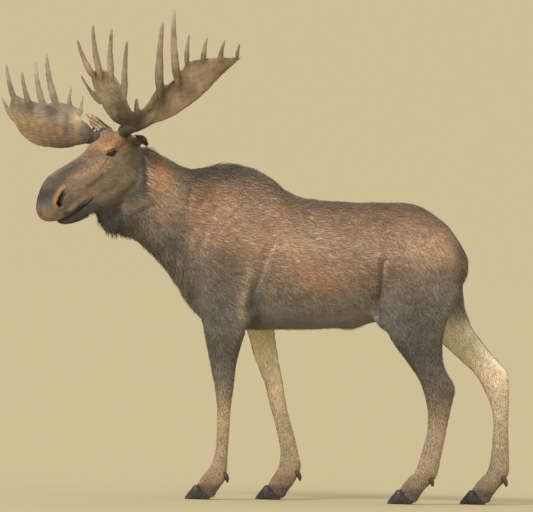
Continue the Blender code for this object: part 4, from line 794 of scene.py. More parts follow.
# height over the knee or the hock
LEG_SHADES = [(-0.6, (140, 115, 90)), (-0.42, (148, 123, 97)), (-0.2, (164, 136, 107)),
              (-0.06, (134, 107, 84)), (0.04, (104, 88, 73)), (0.16, (91, 82, 72)), (0.42, (88, 80, 71))]
# height inside the legs: the legs' own pale inner hair, made paler towards the top as painted light where the
# body shades them
INNER_SHADES = [(0.1, (140, 117, 89)), (0.35, (150, 127, 99)), (0.7, (192, 168, 136)),
                (0.95, (218, 194, 160))]


def shades_at(value, stops):
    """The shade at each value, between stops of (value, shade)."""
    at = [stop[0] for stop in stops]
    return np.stack([np.interp(value, at, [stop[1][c] for stop in stops]) for c in range(3)], axis=1)


def dabbed(colour, a, b, dabs):
    """Soft oval dabs on a colour: centre, radii, shade, strength."""
    for centre, radii, shade, strength in dabs:
        colour = mixed(colour, strength * spot(a, b, centre, radii), shade)
    return colour


def face_colour(s, u, l):
    aside = step(np.abs(l), 0.02, 0.04)
    face = dabbed(np.zeros((len(s), 3)) + (127, 106, 86), s, u, FACE_SPOTS)
    for line, width, shade, strength in FACE_LINES:
        face = mixed(face, strength * along_line(s, u, line, width), shade)
    # below the mouth the lower jaw is darkened as painted shade
    face = mixed(face, 0.85 * step(u, -0.158, -0.176) * step(s, 0.34, 0.42), (72, 66, 58))  # the lower jaw
    face = mixed(face, 0.8 * bell_curve(to_line(s, u, NOSTRIL_RIM)[0], 0.011) * aside, (174, 121, 78))
    hole, t = to_line(s, u, NOSTRIL)
    face = mixed(face, 0.95 * step(hole, 0.018, 0.008) * aside * step(t, 0.05, 0.4), (34, 28, 26))
    face = mixed(face, 0.9 * bell_curve(to_line(s, u, MOUTH)[0], 0.006), (52, 44, 39))
    a, b = lid_coordinates(s, u)
    by_eye = step(np.abs(l), 0.04, 0.07)
    face = mixed(face, 0.9 * step(np.hypot(a / 0.04, b / 0.0155), 1.15, 0.7) * by_eye, (44, 36, 32))
    brow = np.hypot((a + 0.004) / 0.04, (b - 0.022) / 0.009)
    return mixed(face, 0.45 * step(brow, 1.3, 0.4) * by_eye, (84, 68, 54))


def leg_colour(colour, points, normals):
    """Legs dark outside above the knee and hock, pale below and inside."""
    x, y, z = points.T
    side = np.where(y < 0, -1.0, 1.0)
    inner = step(-normals[:, 1] * side, -0.05, 0.45) * step(z, 1.16, 1.0) * step(np.abs(y), 0.02, 0.05)
    hind = x > 0.5
    outside = shades_at(z - np.where(hind, HOCK, KNEE), LEG_SHADES) * np.where(hind, 0.95, 1.0)[:, None]
    colour = mixed(colour, step(z, 1.1, 0.86), outside)
    # the pale inner legs, lifted near the body as painted light
    colour = mixed(colour, inner, shades_at(z, INNER_SHADES))
    uneven = step(np.abs(np.sin(x * 9 + y * 31)), -1, 2)
    colour = mixed(colour, 0.75 * step(z, 0.2, 0.12) * step(z, 0.02, 0.1) * uneven, (112, 86, 65))
    return mixed(colour, 0.8 * step(z, 0.105, 0.07), (84, 71, 62))


def coat_colour(points, normals):
    """The coat's markings, with painted highlights and painted shade, as sRGB, 0 to 255, shared by the skin
    and the tufts.
    """
    x, y, z = points.T
    r = regions(points)
    s, u, l = r["s"], r["u"], r["l"]
    # the trunk's shades and dabs hold painted highlights and painted shade besides the coat's own colour
    colour = dabbed(shades_at(np.clip(trunk_height(x, z), 0, 1), SIDE_SHADES), x, z, BODY_SPOTS)
    below_crest = np.clip((neck_top(x) - z) / NECK_DEPTH, 0, 1)
    colour = mixed(colour, r["neck"], dabbed(shades_at(below_crest, NECK_SHADES), x, z, NECK_SPOTS))
    # a painted highlight behind the elbow
    elbow_highlight = 0.75 * along_line(x, z, PAINTED_HIGHLIGHT_BEHIND_ELBOW, 0.02) * step(np.abs(y), 0.1, 0.16)
    colour = leg_colour(mixed(colour, elbow_highlight, (170, 144, 114)), points, normals)
    colour = mixed(colour, r["head"], face_colour(s, u, l))
    colour = mixed(colour, 0.95 * r["bell"], (79, 73, 64))
    # painted shade in the crease behind the jaw, where the head meets the neck
    behind_jaw = bell_curve(r["past_jaw"], 0.02) * step(u, -0.3, -0.22) * step(u, 0.05, -0.02)
    colour = mixed(colour, 0.75 * (behind_jaw * step(np.abs(l), 0.04, 0.07)), (70, 62, 54))
    for k, (t, across, on, _, facing) in enumerate(ear_weights(points)):
        cup = ear_cup(normals, t, across, facing)
        # the left hollow's dark is painted shade
        ear = mixed(np.zeros(points.shape) + (84, 72, 60), cup, EAR_CUPS[k])
        stripes = step(np.sin(across * 2 * math.pi / 0.021 + 0.8), 0.0, 0.9)
        ear = mixed(ear, (0.3 + 0.3 * k) * cup * stripes, (96, 80, 62))
        ear = mixed(ear, 0.8 * step(np.abs(across), 0.036, 0.046), (56, 48, 42))
        colour = mixed(colour, on * step(t, 0.1, 0.2), ear)
    tail = step(x, 1.05, 1.1) * step(z, 1.57, 1.53) * step(np.abs(y), 0.055, 0.035)
    colour = mixed(colour, 0.7 * tail, (88, 74, 62))
    cloud = ripple(points, 0.22, 11) * 0.045 + ripple(points, 0.06, 12) * 0.035
    warmth = ripple(points, 0.3, 13)[:, None] * np.array([0.015, 0.0, -0.02])
    colour = colour * (1 + cloud[:, None]) * (1 + warmth)
    return np.clip(colour * COAT_GAIN, 4, 250)


def lid_coordinates(s, u):
    """Along and across the slit between the eyelids."""
    ds, du = s - EYE_AT[0], u - EYE_AT[1]
    return (ds * math.cos(LID_TILT) - du * math.sin(LID_TILT),
            ds * math.sin(LID_TILT) + du * math.cos(LID_TILT))


def linear(colour):
    """sRGB 0 to 255 as linear light."""
    c = np.asarray(colour, float) / 255
    return np.where(c < 0.04045, c / 12.92, ((c + 0.055) / 1.055) ** 2.4)


# ------------------------------------------------------------------ meshes from arrays
def read(collection, key, kind, width=3):
    """A mesh's own numbers as an array."""
    values = np.empty(len(collection) * width, kind)
    collection.foreach_get(key, values)
    return values.reshape(-1, width)


def arrays_of(mesh):
    return (read(mesh.vertices, "co", np.float32).astype(float),
            read(mesh.vertex_normals, "vector", np.float32).astype(float))


def triangles_of(mesh):
    mesh.calc_loop_triangles()
    return read(mesh.loop_triangles, "vertices", np.int32)


def place_points(mesh, points):
    mesh.vertices.foreach_set("co", points.astype(np.float32).ravel())
    mesh.update()


def mesh_of(name, points, triangles):
    mesh = bpy.data.meshes.new(name)
    mesh.vertices.add(len(points))
    mesh.vertices.foreach_set("co", points.astype(np.float32).ravel())
    mesh.loops.add(len(triangles) * 3)
    mesh.loops.foreach_set("vertex_index", triangles.astype(np.int32).ravel())
    mesh.polygons.add(len(triangles))
    mesh.polygons.foreach_set("loop_start", np.arange(0, len(triangles) * 3, 3, dtype=np.int32))
    mesh.update(calc_edges=True)
    return mesh


def paint(mesh, name, colour):
    """A colour for each point, kept as linear light."""
    layer = mesh.color_attributes.new(name, "FLOAT_COLOR", "POINT")
    rgba = np.column_stack([linear(colour), np.ones(len(colour))])
    layer.data.foreach_set("color", rgba.astype(np.float32).ravel())


def numbers(mesh, name, values):
    layer = mesh.attributes.new(name, "FLOAT", "POINT")
    layer.data.foreach_set("value", values.astype(np.float32))


def make_object(name, mesh):
    thing = bpy.data.objects.new(name, mesh)
    bpy.context.scene.collection.objects.link(thing)
    return thing


def applied(thing):
    bpy.context.view_layer.update()
    graph = bpy.context.evaluated_depsgraph_get()
    mesh = bpy.data.meshes.new_from_object(thing.evaluated_get(graph))
    thing.modifiers.clear()
    thing.data = mesh
    return thing


def fused(thing, voxel):
    thing.modifiers.new("Fuse", "REMESH").mode = "VOXEL"
    thing.modifiers["Fuse"].voxel_size = voxel
    return applied(thing)


def relax(mesh, rounds, strength):
    """Softens the creases where masses meet; strength is a function of the points and the round."""
    n = len(mesh.vertices)
    points = read(mesh.vertices, "co", float)
    a, b = read(mesh.edges, "vertices", np.int64, 2).T
    count = np.bincount(a, minlength=n) + np.bincount(b, minlength=n)
    for k in range(rounds):
        power = strength(points, k)[:, None]
        total = np.stack([np.bincount(a, points[b, c], n) + np.bincount(b, points[a, c], n)
                          for c in range(3)], axis=1)
        points += power * (total / count[:, None] - points)
    place_points(mesh, points)


def refine(mesh, wanted):
    """Splits the faces of the chosen points into four."""
    chosen = wanted(arrays_of(mesh)[0])
    work = bmesh.new()
    work.from_mesh(mesh)
    edges = [e for e in work.edges if chosen[e.verts[0].index] and chosen[e.verts[1].index]]
    bmesh.ops.subdivide_edges(work, edges=edges, cuts=1, use_grid_fill=True, smooth=0.0)
    work.to_mesh(mesh)
    work.free()
    mesh.update()


def settled(thing, material, slot, *nodes):
    """Gives a piece its finish and its body, and hides the solids it stands for. The slot is not used."""
    thing.data.shade_smooth()
    thing.data.materials.append(material)
    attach(thing, BODY)
    if nodes:
        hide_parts(*nodes)


# ------------------------------------------------------------------ the skin
def skin_softness(points, k):
    """Long soft blends on the trunk and haunches, short ones on the head and the lower legs."""
    x, _, z = points.T
    s, u, l = head_coordinates(points)
    rounds = np.full(len(points), 32.0)
    neck = (x < -0.62) & (z > 1.2)
    for place, wanted in [
            (z < 0.98, 10),
            (z < 0.24, 4),
            (neck, 21),
            (neck & (s > -0.03), 5),
            (z > 2.09, 2),
            ((s > 0.03) & (s < 0.34) & (u > 0.045) & (np.abs(l) < 0.14), 15),   # forehead and brows
            (np.maximum(np.abs(x - 0.62), np.abs(z - 1.13)) < 0.14, 60),        # the flank's fold
            ((x > 0.86) & (z > 1.45), 60)]:                                     # the croup
        rounds[place] = wanted
    return np.where(k < rounds, 0.5, 0.0)


# side view grooves (depth below 0) and ridges: line, width, depth
RELIEF = [([(-0.105, 1.06), (-0.095, 1.22), (-0.03, 1.42), (0.03, 1.56)], 0.026, -0.01),
          ([(-0.17, 1.1), (-0.15, 1.25), (-0.1, 1.42)], 0.035, 0.006),
          ([(-0.45, 1.28), (-0.41, 1.5), (-0.3, 1.76)], 0.03, -0.007),
          ([(-0.36, 1.28), (-0.27, 1.58), (-0.2, 1.8)], 0.035, 0.006),
          ([(0.6, 1.04), (0.632, 1.22), (0.645, 1.43)], 0.02, -0.013),
          ([(0.7, 1.1), (0.72, 1.28), (0.7, 1.46)], 0.045, 0.006),
          ([(1.01, 1.1), (1.0, 1.3), (1.02, 1.5)], 0.03, -0.007),
          ([(0.84, 1.06), (0.93, 1.2), (0.94, 1.38)], 0.04, -0.005),
          ([(0.44, 1.66), (0.56, 1.62), (0.64, 1.6)], 0.03, 0.005),
          ([(0.25, 1.6), (0.45, 1.57), (0.6, 1.53)], 0.035, -0.005),
          ([(-0.82, 1.78), (-0.66, 1.56), (-0.53, 1.34)], 0.03, -0.009),
          ([(-0.72, 1.9), (-0.58, 1.74), (-0.47, 1.55)], 0.045, 0.006)]


def relief(points, normals):
    """Muscle and bone under the coat, as a push along the normal."""
    x, _, z = points.T
    sideways = step(np.abs(normals[:, 1]), 0.25, 0.65)
    body = step(z, 0.98, 1.08) * (1 - regions(points)["head"])
    push = np.zeros(len(points))
    for line, width, depth in RELIEF:
        push += depth * along_line(x, z, line, width) * sideways * body
    ribs = np.sin((x + 0.3 * z) * 2 * math.pi / 0.062)
    push += 0.0016 * ribs * sideways * spot(x, z, (0.26, 1.38), (0.26, 0.16))
    return push + 0.0025 * ripple(points, 0.16, 21) * body


def around_eye(points):
    """How many lid widths a point lies from the slit between the lids, and whether it is near an eye."""
    s, u, l = head_coordinates(points)
    a, b = lid_coordinates(s, u)
    tall = np.where(b > 0, 0.0112, 0.0085)
    q = np.sqrt((a / LID_HALF) ** 2 + (b / tall) ** 2 + 0.35 * (a / LID_HALF) ** 4)
    beside = (np.abs(s - EYE_AT[0]) < 0.07) & (np.abs(u - EYE_AT[1]) < 0.06)
    return q, beside & (np.abs(l) - EYE_AT[2] > -0.03)


def socket(points):
    """Opens the eyelids: the slit sinks behind the eyeball, and the lids lie over it inside a fold."""
    s, u, l = head_coordinates(points)
    q, near = around_eye(points)
    b = lid_coordinates(s, u)[1]
    ds, du = s - EYE_AT[0], u - EYE_AT[1]
    ball = np.sqrt(np.maximum(EYE_RADIUS**2 - ds**2 - du**2, (0.35 * EYE_RADIUS) ** 2))
    out = np.abs(l) - EYE_AT[2]
    lid = ball + 0.003
    target = np.where(q < 1, ball - 0.0075, lid)
    target = target + (lid - target) * step(q, 0.9, 1.06) * (q < 1.06)
    fold = -0.0026 * bell_curve(q - 1.95, 0.22) * (b > -0.004)
    fold -= 0.0016 * bell_curve(q - 2.1, 0.25) * (b < -0.004)
    fold += 0.0014 * bell_curve(q - 2.6, 0.3)
    moved = out + step(q, 2.5, 1.3) * (target - out) + fold * step(q, 3.4, 2.6)
    return points + np.where(near, (moved - out) * np.sign(l), 0.0)[:, None] * HEAD_L


# grooves (below 0) and ridges of the face: line (s, u), width, depth
FACE_RELIEF = [([(0.225, 0.026), (0.262, 0.004), (0.31, -0.018)], 0.0075, -0.0042),
               ([(0.2, -0.028), (0.28, -0.04), (0.38, -0.052), (0.46, -0.06)], 0.014, 0.0042),
               ([(0.05, -0.1), (0.1, -0.19), (0.22, -0.225), (0.34, -0.225)], 0.018, -0.004)]
MOUTH_CORNER = [(0.385, -0.12), (0.395, -0.145), (0.42, -0.172)]


def muzzle(points, normals):
    """Nostrils, lips, the corner of the mouth, the tear groove and the fine folds between them."""
    s, u, l = head_coordinates(points)
    aside = step(np.abs(l), 0.018, 0.042)
    d, t = to_line(s, u, NOSTRIL)
    half = np.interp(t, [0, 0.3, 0.6, 0.85, 1], [0.0035, 0.0062, 0.01, 0.0145, 0.015])
    deep = np.interp(t, [0, 0.3, 0.7, 1], [0.006, 0.013, 0.026, 0.028])
    front = step(s, 0.5, 0.53)
    hole = step(d / half, 1.25, 0.55) * aside * front
    points = points - (hole * deep)[:, None] * (np.sign(l)[:, None] * HEAD_L * 0.92 - 0.25 * HEAD_F)
    push = 0.0038 * (bell_curve(d - half * 1.45, 0.0048) * aside * front * (1 - hole))  # the nostril's rim
    m, t = to_line(s, u, MOUTH)
    push -= 0.0085 * (bell_curve(m, 0.0042) * step(t, -0.001, 0.06)) * step(s, 0.38, 0.42)
    by_mouth = step(s, 0.42, 0.5)
    push += 0.0035 * bell_curve(to_line(s, u, [(p, q + 0.016) for p, q in MOUTH])[0], 0.011) * by_mouth
    under = to_line(s, u, [(p, q - 0.014) for p, q in MOUTH])[0]
    push += 0.003 * bell_curve(under, 0.01) * by_mouth * step(s, 0.68, 0.64)
    for line, width, depth in FACE_RELIEF:
        push += depth * along_line(s, u, line, width) * aside
    push -= 0.003 * along_line(s, u, MOUTH_CORNER, 0.007)
    wing = step(np.hypot(s - 0.6, u + 0.03), 0.11, 0.05) * aside
    push += 0.0008 * np.sin(d * 2 * math.pi / 0.0095) * wing * step(d, 0.016, 0.024)
    folds = np.sin((s * 0.9 + u * 0.5) * 2 * math.pi / 0.013 + 2 * ripple(points, 0.05, 31))
    push += 0.0006 * folds * spot(s, u, (0.42, -0.1), (0.09, 0.05))
    return points + push[:, None] * normals, hole


def thin_trunk(thing):
    """Fewer, larger faces where the long coat hides them."""
    points = arrays_of(thing.data)[0]
    r = regions(points)
    hidden = step(points[:, 2], 1.0, 1.12) * (1 - np.maximum(r["head"], r["ear"]))
    hidden = hidden * (1 - step(r["s"], -0.12, -0.04))
    group = thing.vertex_groups.new(name="hidden")
    for level in range(1, 5):
        group.add(np.flatnonzero(np.round(hidden * 4) == level).tolist(), level / 4, "REPLACE")
    cut = thing.modifiers.new("Thin", "DECIMATE")
    cut.ratio = 1 - THINNED * hidden.mean()
    cut.vertex_group = "hidden"
    cut.vertex_group_factor = 1.0
    applied(thing)


def on_face(points):
    s, u, _ = head_coordinates(points)
    return (s > 0.05) & (u > -0.3) & (u < 0.13)


def on_features(points):
    s, u, l = head_coordinates(points)
    eye = (np.hypot(s - EYE_AT[0], u - EYE_AT[1]) < 0.055) & (np.abs(l) > 0.05)
    nose = (to_line(s, u, NOSTRIL)[0] < 0.034) & (np.abs(l) > 0.03)
    mouth = (to_line(s, u, MOUTH)[0] < 0.016) & (u < -0.12)
    return eye | nose | mouth


def on_lids(points):
    s, u, l = head_coordinates(points)
    return (np.hypot(s - EYE_AT[0], u - EYE_AT[1]) < 0.04) & (np.abs(l) > 0.06)


def make_skin():
    """One skin over the whole body, finer towards the eyes and the muzzle."""
    thing = fused(make_object("skin", flesh_shells().mesh("skin")), SKIN_VOXEL)
    relax(thing.data, 60, skin_softness)
    points, normals = arrays_of(thing.data)
    push = relief(points, normals) - coat_size(points, normals)[2]
    place_points(thing.data, points + push[:, None] * normals)
    thin_trunk(thing)
    mesh = thing.data
    for part in (on_face, on_features, on_lids):
        refine(mesh, part)
        relax(mesh, 2, lambda p, k: np.where(part(p), 0.4, 0.0))
    place_points(mesh, socket(arrays_of(mesh)[0]))
    points, hole = muzzle(*arrays_of(mesh))
    place_points(mesh, points)
    triangulated(mesh).shade_smooth()
    points, normals = arrays_of(mesh)
    q, near = around_eye(points)
    s, u, l = head_coordinates(points)
    nose = step(np.abs(l), 0.024, 0.012) * step(s, 0.68, 0.705)
    nose = nose * step(u, -0.105, -0.085) * step(u, -0.03, -0.05)
    lids = np.where(near, step(q, 1.45, 1.15), 0.0)
    bare = np.maximum.reduce([lids, hole, nose, step(points[:, 2], 0.03, 0.02)])
    colour = mixed(coat_colour(points, normals), nose * 0.7, (84, 72, 64))
    paint(mesh, "Coat", mixed(colour, np.where(near, step(q, 1.32, 1.08), 0.0), (26, 21, 19)))
    numbers(mesh, "Bare", bare)
    numbers(mesh, "Down", np.clip(np.abs(coat_lie(points, normals)[:, 2]) * 1.2, 0, 1))
    return thing, points, normals, bare


# ------------------------------------------------------------------ the coat
def coat_region(points):
    """The coat piece each root belongs to."""
    x, y, z = points.T
    r = regions(points)
    head, ear = r["head"] > 0.5, r["ear"] > 0.5
    part = np.full(len(points), "trunk", object)
    for place, name in [(x > 0.56, "haunch"), (x < -0.02, "shoulder"), (r["crest"] > 0.35, "mane"),
                        (r["neck"] > 0.5, "neck"), ((r["crest"] > 0.35) & (x < -0.4), "mane"),
                        ((z < 1.02) & (x < 0.45), "foreleg"), ((z < 1.02) & (x >= 0.45), "hindleg"),
                        (head, "head"), (ear, "ear"), (r["bell"] > 0.5, "bell")]:
        part[place] = name
    left = np.where(head | ear, r["l"] > 0, y < 0)
    return np.array([p if p == "bell" else p + ("_left" if w else "_right") for p, w in zip(part, left)])


def root_places(points, normals, triangles, bare, seed):
    """Evenly strewn roots on the skin, and the skin's normal at each."""
    rng = np.random.default_rng(seed)
    a, b, c = (points[triangles[:, k]] for k in range(3))
    area = 0.5 * np.linalg.norm(np.cross(b - a, c - a), axis=1)
    middle, facing = (a + b + c) / 3, normals[triangles].mean(axis=1)
    length, width, _ = coat_size(middle, facing)
    flat = np.maximum(step(middle[:, 2], 0.98, 0.8), regions(middle)["head"])
    cover = COVER + (SHORT_COVER - COVER) * flat
    weight = area * cover / (0.62 * length * width) * (bare[triangles].max(axis=1) < BALD)
    edge = np.cumsum(weight)
    picks = np.arange(int(edge[-1])) + rng.uniform(0, 1, int(edge[-1]))
    corners = triangles[np.clip(np.searchsorted(edge, picks), 0, len(triangles) - 1)]
    p, q = rng.uniform(0, 1, (2, len(corners)))
    flip = p + q > 1
    p, q = np.where(flip, 1 - p, p), np.where(flip, 1 - q, q)
    shares = [(1 - p - q)[:, None], p[:, None], q[:, None]]
    root, normal = (sum(values[corners[:, k]] * shares[k] for k in range(3))
                    for values in (points, normals))
    return root, normal / np.linalg.norm(normal, axis=1)[:, None]


def tufts(root, normal, seed):
    """A thin three-sided lock for each root: it rises to the coat's depth and lies along the body.

    Gives three points across each station of a lock and one at its tip, and the stations' places, 0 to 1.
    """
    rng = np.random.default_rng(seed)
    n = len(root)
    length, width, depth = coat_size(root, normal)
    lie = coat_lie(root, normal)
    across = np.cross(normal, lie)
    calm = 1 - 0.45 * step(root[:, 2], 0.98, 0.80)                  # the legs' coat lies more evenly
    turn = calm * (0.2 * ripple(root, 0.055, 41) + 0.12 * ripple(root, 0.018, 42) + rng.normal(0, 0.1, n))
    lie = lie * np.cos(turn)[:, None] + across * np.sin(turn)[:, None]
    across = np.cross(normal, lie)
    length = length * rng.uniform(0.72, 1.22, n)
    width = width * rng.uniform(0.75, 1.25, n)
    depth = depth * np.clip(0.88 + 0.19 * calm * rng.normal(0, 1, n), 0.45, 1.2)
    bend = 0.1 * calm * rng.normal(0, 1, n) * length
    droop = np.where(length > LONG_TUFT, 0.18, 0.0) * length
    stations = (0, 0.5, 1) if np.median(length) < 0.04 else (0, 0.25, 0.5, 1)
    rows = []
    for t in stations:
        rise = -TUFT_SUNK + (depth + TUFT_SUNK) * (1 - (1 - t) ** 1.7) - 0.1 * depth * t * t
        sway = (bend * t * t)[:, None]
        centre = root + lie * (length * t)[:, None] + normal * rise[:, None] + across * sway
        centre[:, 2] -= droop * t * t
        half = 0.5 * width * (1 - t ** 1.6) * (0.75 + 0.5 * t * (1 - t) * 2)
        if t < 1:
            aside = across * half[:, None]
            rows += [centre - aside, centre + aside, centre + normal * (0.42 * half)[:, None] * 1.6]
        else:
            rows.append(centre)
    return np.stack(rows, axis=1), stations


def lock_faces(rings):
    """The triangles of one lock: a closed root, three-sided rings and a tip."""
    faces = [(0, 1, 2)]
    for k in range(rings - 1):
        for j in range(3):
            i, m = k * 3 + j, k * 3 + (j + 1) % 3
            faces += [(i, i + 3, m), (m, i + 3, m + 3)]
    last = (rings - 1) * 3
    return np.array(faces + [(last + j, last + 3, last + (j + 1) % 3) for j in range(3)])


def bake_map(mesh, triangles, root, normal, stations):
    """OFBake: the skin unwrapped on the six sides of a box, each lock a small patch at its root's place."""
    n = np.arange(len(root))
    low, high = root.min(axis=0) - 0.01, root.max(axis=0) + 0.01
    place = (root - low) / (high - low)
    axis = np.argmax(np.abs(normal), axis=1)
    sign = normal[n, axis] > 0
    first, second = np.array([1, 0, 0])[axis], np.array([2, 2, 1])[axis]
    u = (place[n, first] * 0.94 + 0.03 + axis) / 3
    v = (place[n, second] * 0.94 + 0.03 + sign) / 2
    across = np.array([0.0, 1.0, 0.5] * (len(stations) - 1) + [0.5])
    along = np.array([t for t in stations[:-1] for _ in range(3)] + [1])
    spread_u = (u[:, None] + (across - 0.5)[None] * BAKE_PATCH).reshape(-1)
    spread_v = (v[:, None] + (along - 0.5)[None] * BAKE_PATCH).reshape(-1)
    uv = np.stack([spread_u[triangles.ravel()], spread_v[triangles.ravel()]], axis=1)
    mesh.uv_layers.new(name="OFBake").data.foreach_set("uv", uv.astype(np.float32).ravel())


def lock_mesh(name, root, normal, seed):
    """The locks of one coat piece as a mesh with its colours and its bake map."""
    rng = np.random.default_rng(seed + 500)
    n = len(root)
    locks, stations = tufts(root, normal, seed)
    per = locks.shape[1]
    faces = lock_faces(len(stations) - 1)
    triangles = (faces[None] + (np.arange(n) * per)[:, None, None]).reshape(-1, 3)
    mesh = mesh_of(name, locks.reshape(-1, 3) + SHIFT, triangles)
    # the skin's own colour at the root's place, darker at the root and paler at the tip
    uneven = 1 + 0.05 * rng.normal(0, 1, n) + 0.035 * ripple(root, 0.012, 61)
    shade = np.array([0.93 + 0.13 * t for t in stations[:-1] for _ in range(3)] + [0.93 + 0.13])
    colour = (coat_colour(root, normal) * uneven[:, None])[:, None, :] * shade[None, :, None]
    paint(mesh, "Coat", np.clip(colour.reshape(-1, 3), 3, 250))
    bake_map(mesh, triangles, root, normal, stations)
    return mesh


def coat_slot(name):
    if "head" in name or "ear" in name:
        return "face_coat"
    if name.startswith("coat_bell") or "mane" in name or "neck" in name:
        return "dark_coat"
    if "leg" in name:
        return "pale_leg_coat"
    return "body_coat"


def make_coat(points, normals, triangles, bare, material):
    root, normal = root_places(points, normals, triangles, bare, 71)
    stalks = [antler_point(side, BURR_HOLE, *BURR[1:]) for side in (1, -1)]
    clear = np.minimum(*[np.linalg.norm(root - stalk, axis=1) for stalk in stalks]) > 0.04
    root, normal = root[clear], normal[clear]
    where = coat_region(root)
    for k, name in enumerate(sorted(set(where))):
        mine = where == name
        thing = make_object("coat_" + name, lock_mesh("coat_" + name, root[mine], normal[mine], 100 + k))
        settled(thing, material, coat_slot("coat_" + name))


# ------------------------------------------------------------------ antlers
# side view: centre (x, z), radii, shade, strength; the bone's own tones, with painted shade between the tines
# and along the palms' lower rims, and painted light on the left brow palm and on a lit strip of the right
# palm
ANTLER_SPOTS = {1: [((-0.5, 2.4), (0.14, 0.07), (147, 116, 85), 0.8),
                    ((-0.32, 2.5), (0.07, 0.05), (140, 114, 86), 0.6),
                    ((-0.62, 2.21), (0.07, 0.05), (152, 118, 84), 0.7),
                    # these three: painted shade at the tines' roots
                    ((-0.66, 2.32), (0.05, 0.11), (98, 87, 71), 0.8),
                    ((-0.48, 2.52), (0.06, 0.06), (100, 88, 72), 0.8),
                    ((-0.3, 2.58), (0.1, 0.03), (104, 92, 76), 0.7),
                    # painted light on the brow palm, against its shade
                    ((-0.97, 2.34), (0.11, 0.16), (176, 160, 136), 0.9),
                    ((-0.84, 2.15), (0.09, 0.1), (92, 83, 71), 0.85)],
                -1: [((-1.42, 2.13), (0.1, 0.06), (160, 126, 92), 0.7),
                     ((-1.24, 2.1), (0.1, 0.05), (156, 122, 88), 0.6),
                     # these two: painted shade between the tines
                     ((-1.42, 2.24), (0.03, 0.05), (104, 93, 77), 0.7),
                     ((-1.3, 2.23), (0.03, 0.07), (102, 91, 75), 0.7),
                     # painted shade along the palm's lower rim
                     ((-1.2, 2.03), (0.09, 0.035), (98, 88, 74), 0.8),
                     # a painted highlight on the palm's lit strip
                     ((-1.15, 2.17), (0.03, 0.11), (190, 164, 120), 0.85),
                     # painted shade down from a tine
                     ((-1.208, 2.16), (0.018, 0.1), (106, 94, 77), 0.65),
                     ((-1.1, 2.25), (0.03, 0.05), (108, 92, 72), 0.6)]}


def antler_fields(points, side):
    """Each point's place from the burr, its distance from it, and how far out along a tine it lies."""
    local = points - ANTLER_AT
    places = np.stack([local @ ANTLER_L * side, local @ NOSEWARD, local @ ANTLER_U], axis=1)
    tine = np.zeros(len(points))
    for root, tip, radius, _ in TINES[side]:
        a, b = np.array(root), np.array(tip)
        t = ((places - a) @ (b - a)) / ((b - a) @ (b - a))
        d = np.linalg.norm(places - a - np.clip(t, 0, 1)[:, None] * (b - a), axis=1)
        tine = np.maximum(tine, np.clip(t, 0, 1.05) * (d < radius * 1.7 + 0.016))
    from_burr = places - np.array(BURR)
    return from_burr, np.linalg.norm(from_burr, axis=1), tine


ANTLER_BASE, ANTLER_PALM, ANTLER_TINE = (112, 98, 82), (146, 126, 102), (160, 138, 112)


def make_antler(label, side, material):
    thing = fused(make_object("antler_" + label, antler_shells(side).mesh("antler")), ANTLER_VOXEL)
    mesh = thing.data
    soft = 0.45 * (1 - 0.92 * step(antler_fields(arrays_of(mesh)[0], side)[2], 0.55, 0.85))
    relax(mesh, 12, lambda points, k: soft if k > 3 else np.full(len(points), 0.45))
    points, normals = arrays_of(mesh)
    places, reach, tine = antler_fields(points, side)
    # gutters fan out from the burr, and pearls crowd round it
    way = places / np.maximum(reach, 0.02)[:, None]
    bent = way + 0.05 * np.stack([ripple(points, 0.16, 81 + k) for k in range(3)], axis=1)
    channel = bell_curve(ripple(bent, 0.075, 85, 9) + 0.6 * ripple(bent, 0.035, 86, 9), 0.33)
    pearls = np.clip(ripple(points, 0.011, 88, 9), 0, 1)
    rough = step(reach, 0.2, 0.06)
    push = -0.0015 * channel * step(reach, 0.05, 0.12) * (1 - 0.8 * tine) + 0.0028 * pearls * rough
    push += 0.001 * ripple(points, 0.05, 89)
    push -= 0.001 * channel * rough
    place_points(mesh, points + push[:, None] * normals)
    points, normals = arrays_of(mesh)
    base, palm_tone, pale = (np.array(shade, float) for shade in (ANTLER_BASE, ANTLER_PALM, ANTLER_TINE))
    tone = base + (palm_tone - base) * step(reach, 0.04, 0.18)[:, None]
    # dabs of the bone's own tone, of painted shade and of painted light
    tone = dabbed(tone, points[:, 0], points[:, 2], ANTLER_SPOTS[side])
    tone = tone + (pale - tone) * (0.8 * step(tine, 0.15, 0.85))[:, None]
    tone = tone * (1 - 0.09 * channel * (1 - tine))[:, None]
    tone = tone * (1 + 0.1 * ripple(points, 0.12, 91) + 0.05 * ripple(points, 0.03, 92))[:, None]
    # the palms' downward faces towards the back are made paler as painted light from below; the tines' tips
    # are the bone's own pale
    under = step(places[:, 1], -0.02, -0.12) * step(normals @ ANTLER_U, -0.1, -0.6)
    for weight, shade in ((under, (158.0, 134, 104)), (step(tine, 0.86, 1.0), (172.0, 152, 126))):
        tone = tone + (np.array(shade) - tone) * (0.5 * weight)[:, None]
    paint(mesh, "Tone", tone * (1 - 0.22 * rough * (1 - pearls))[:, None])
    place_points(mesh, points + SHIFT)
    triangulated(mesh)
    parts = ("beam", "brow_palm", "main_palm")
    settled(thing, material, "antler", *[f"antler_{label}_{part}" for part in parts])


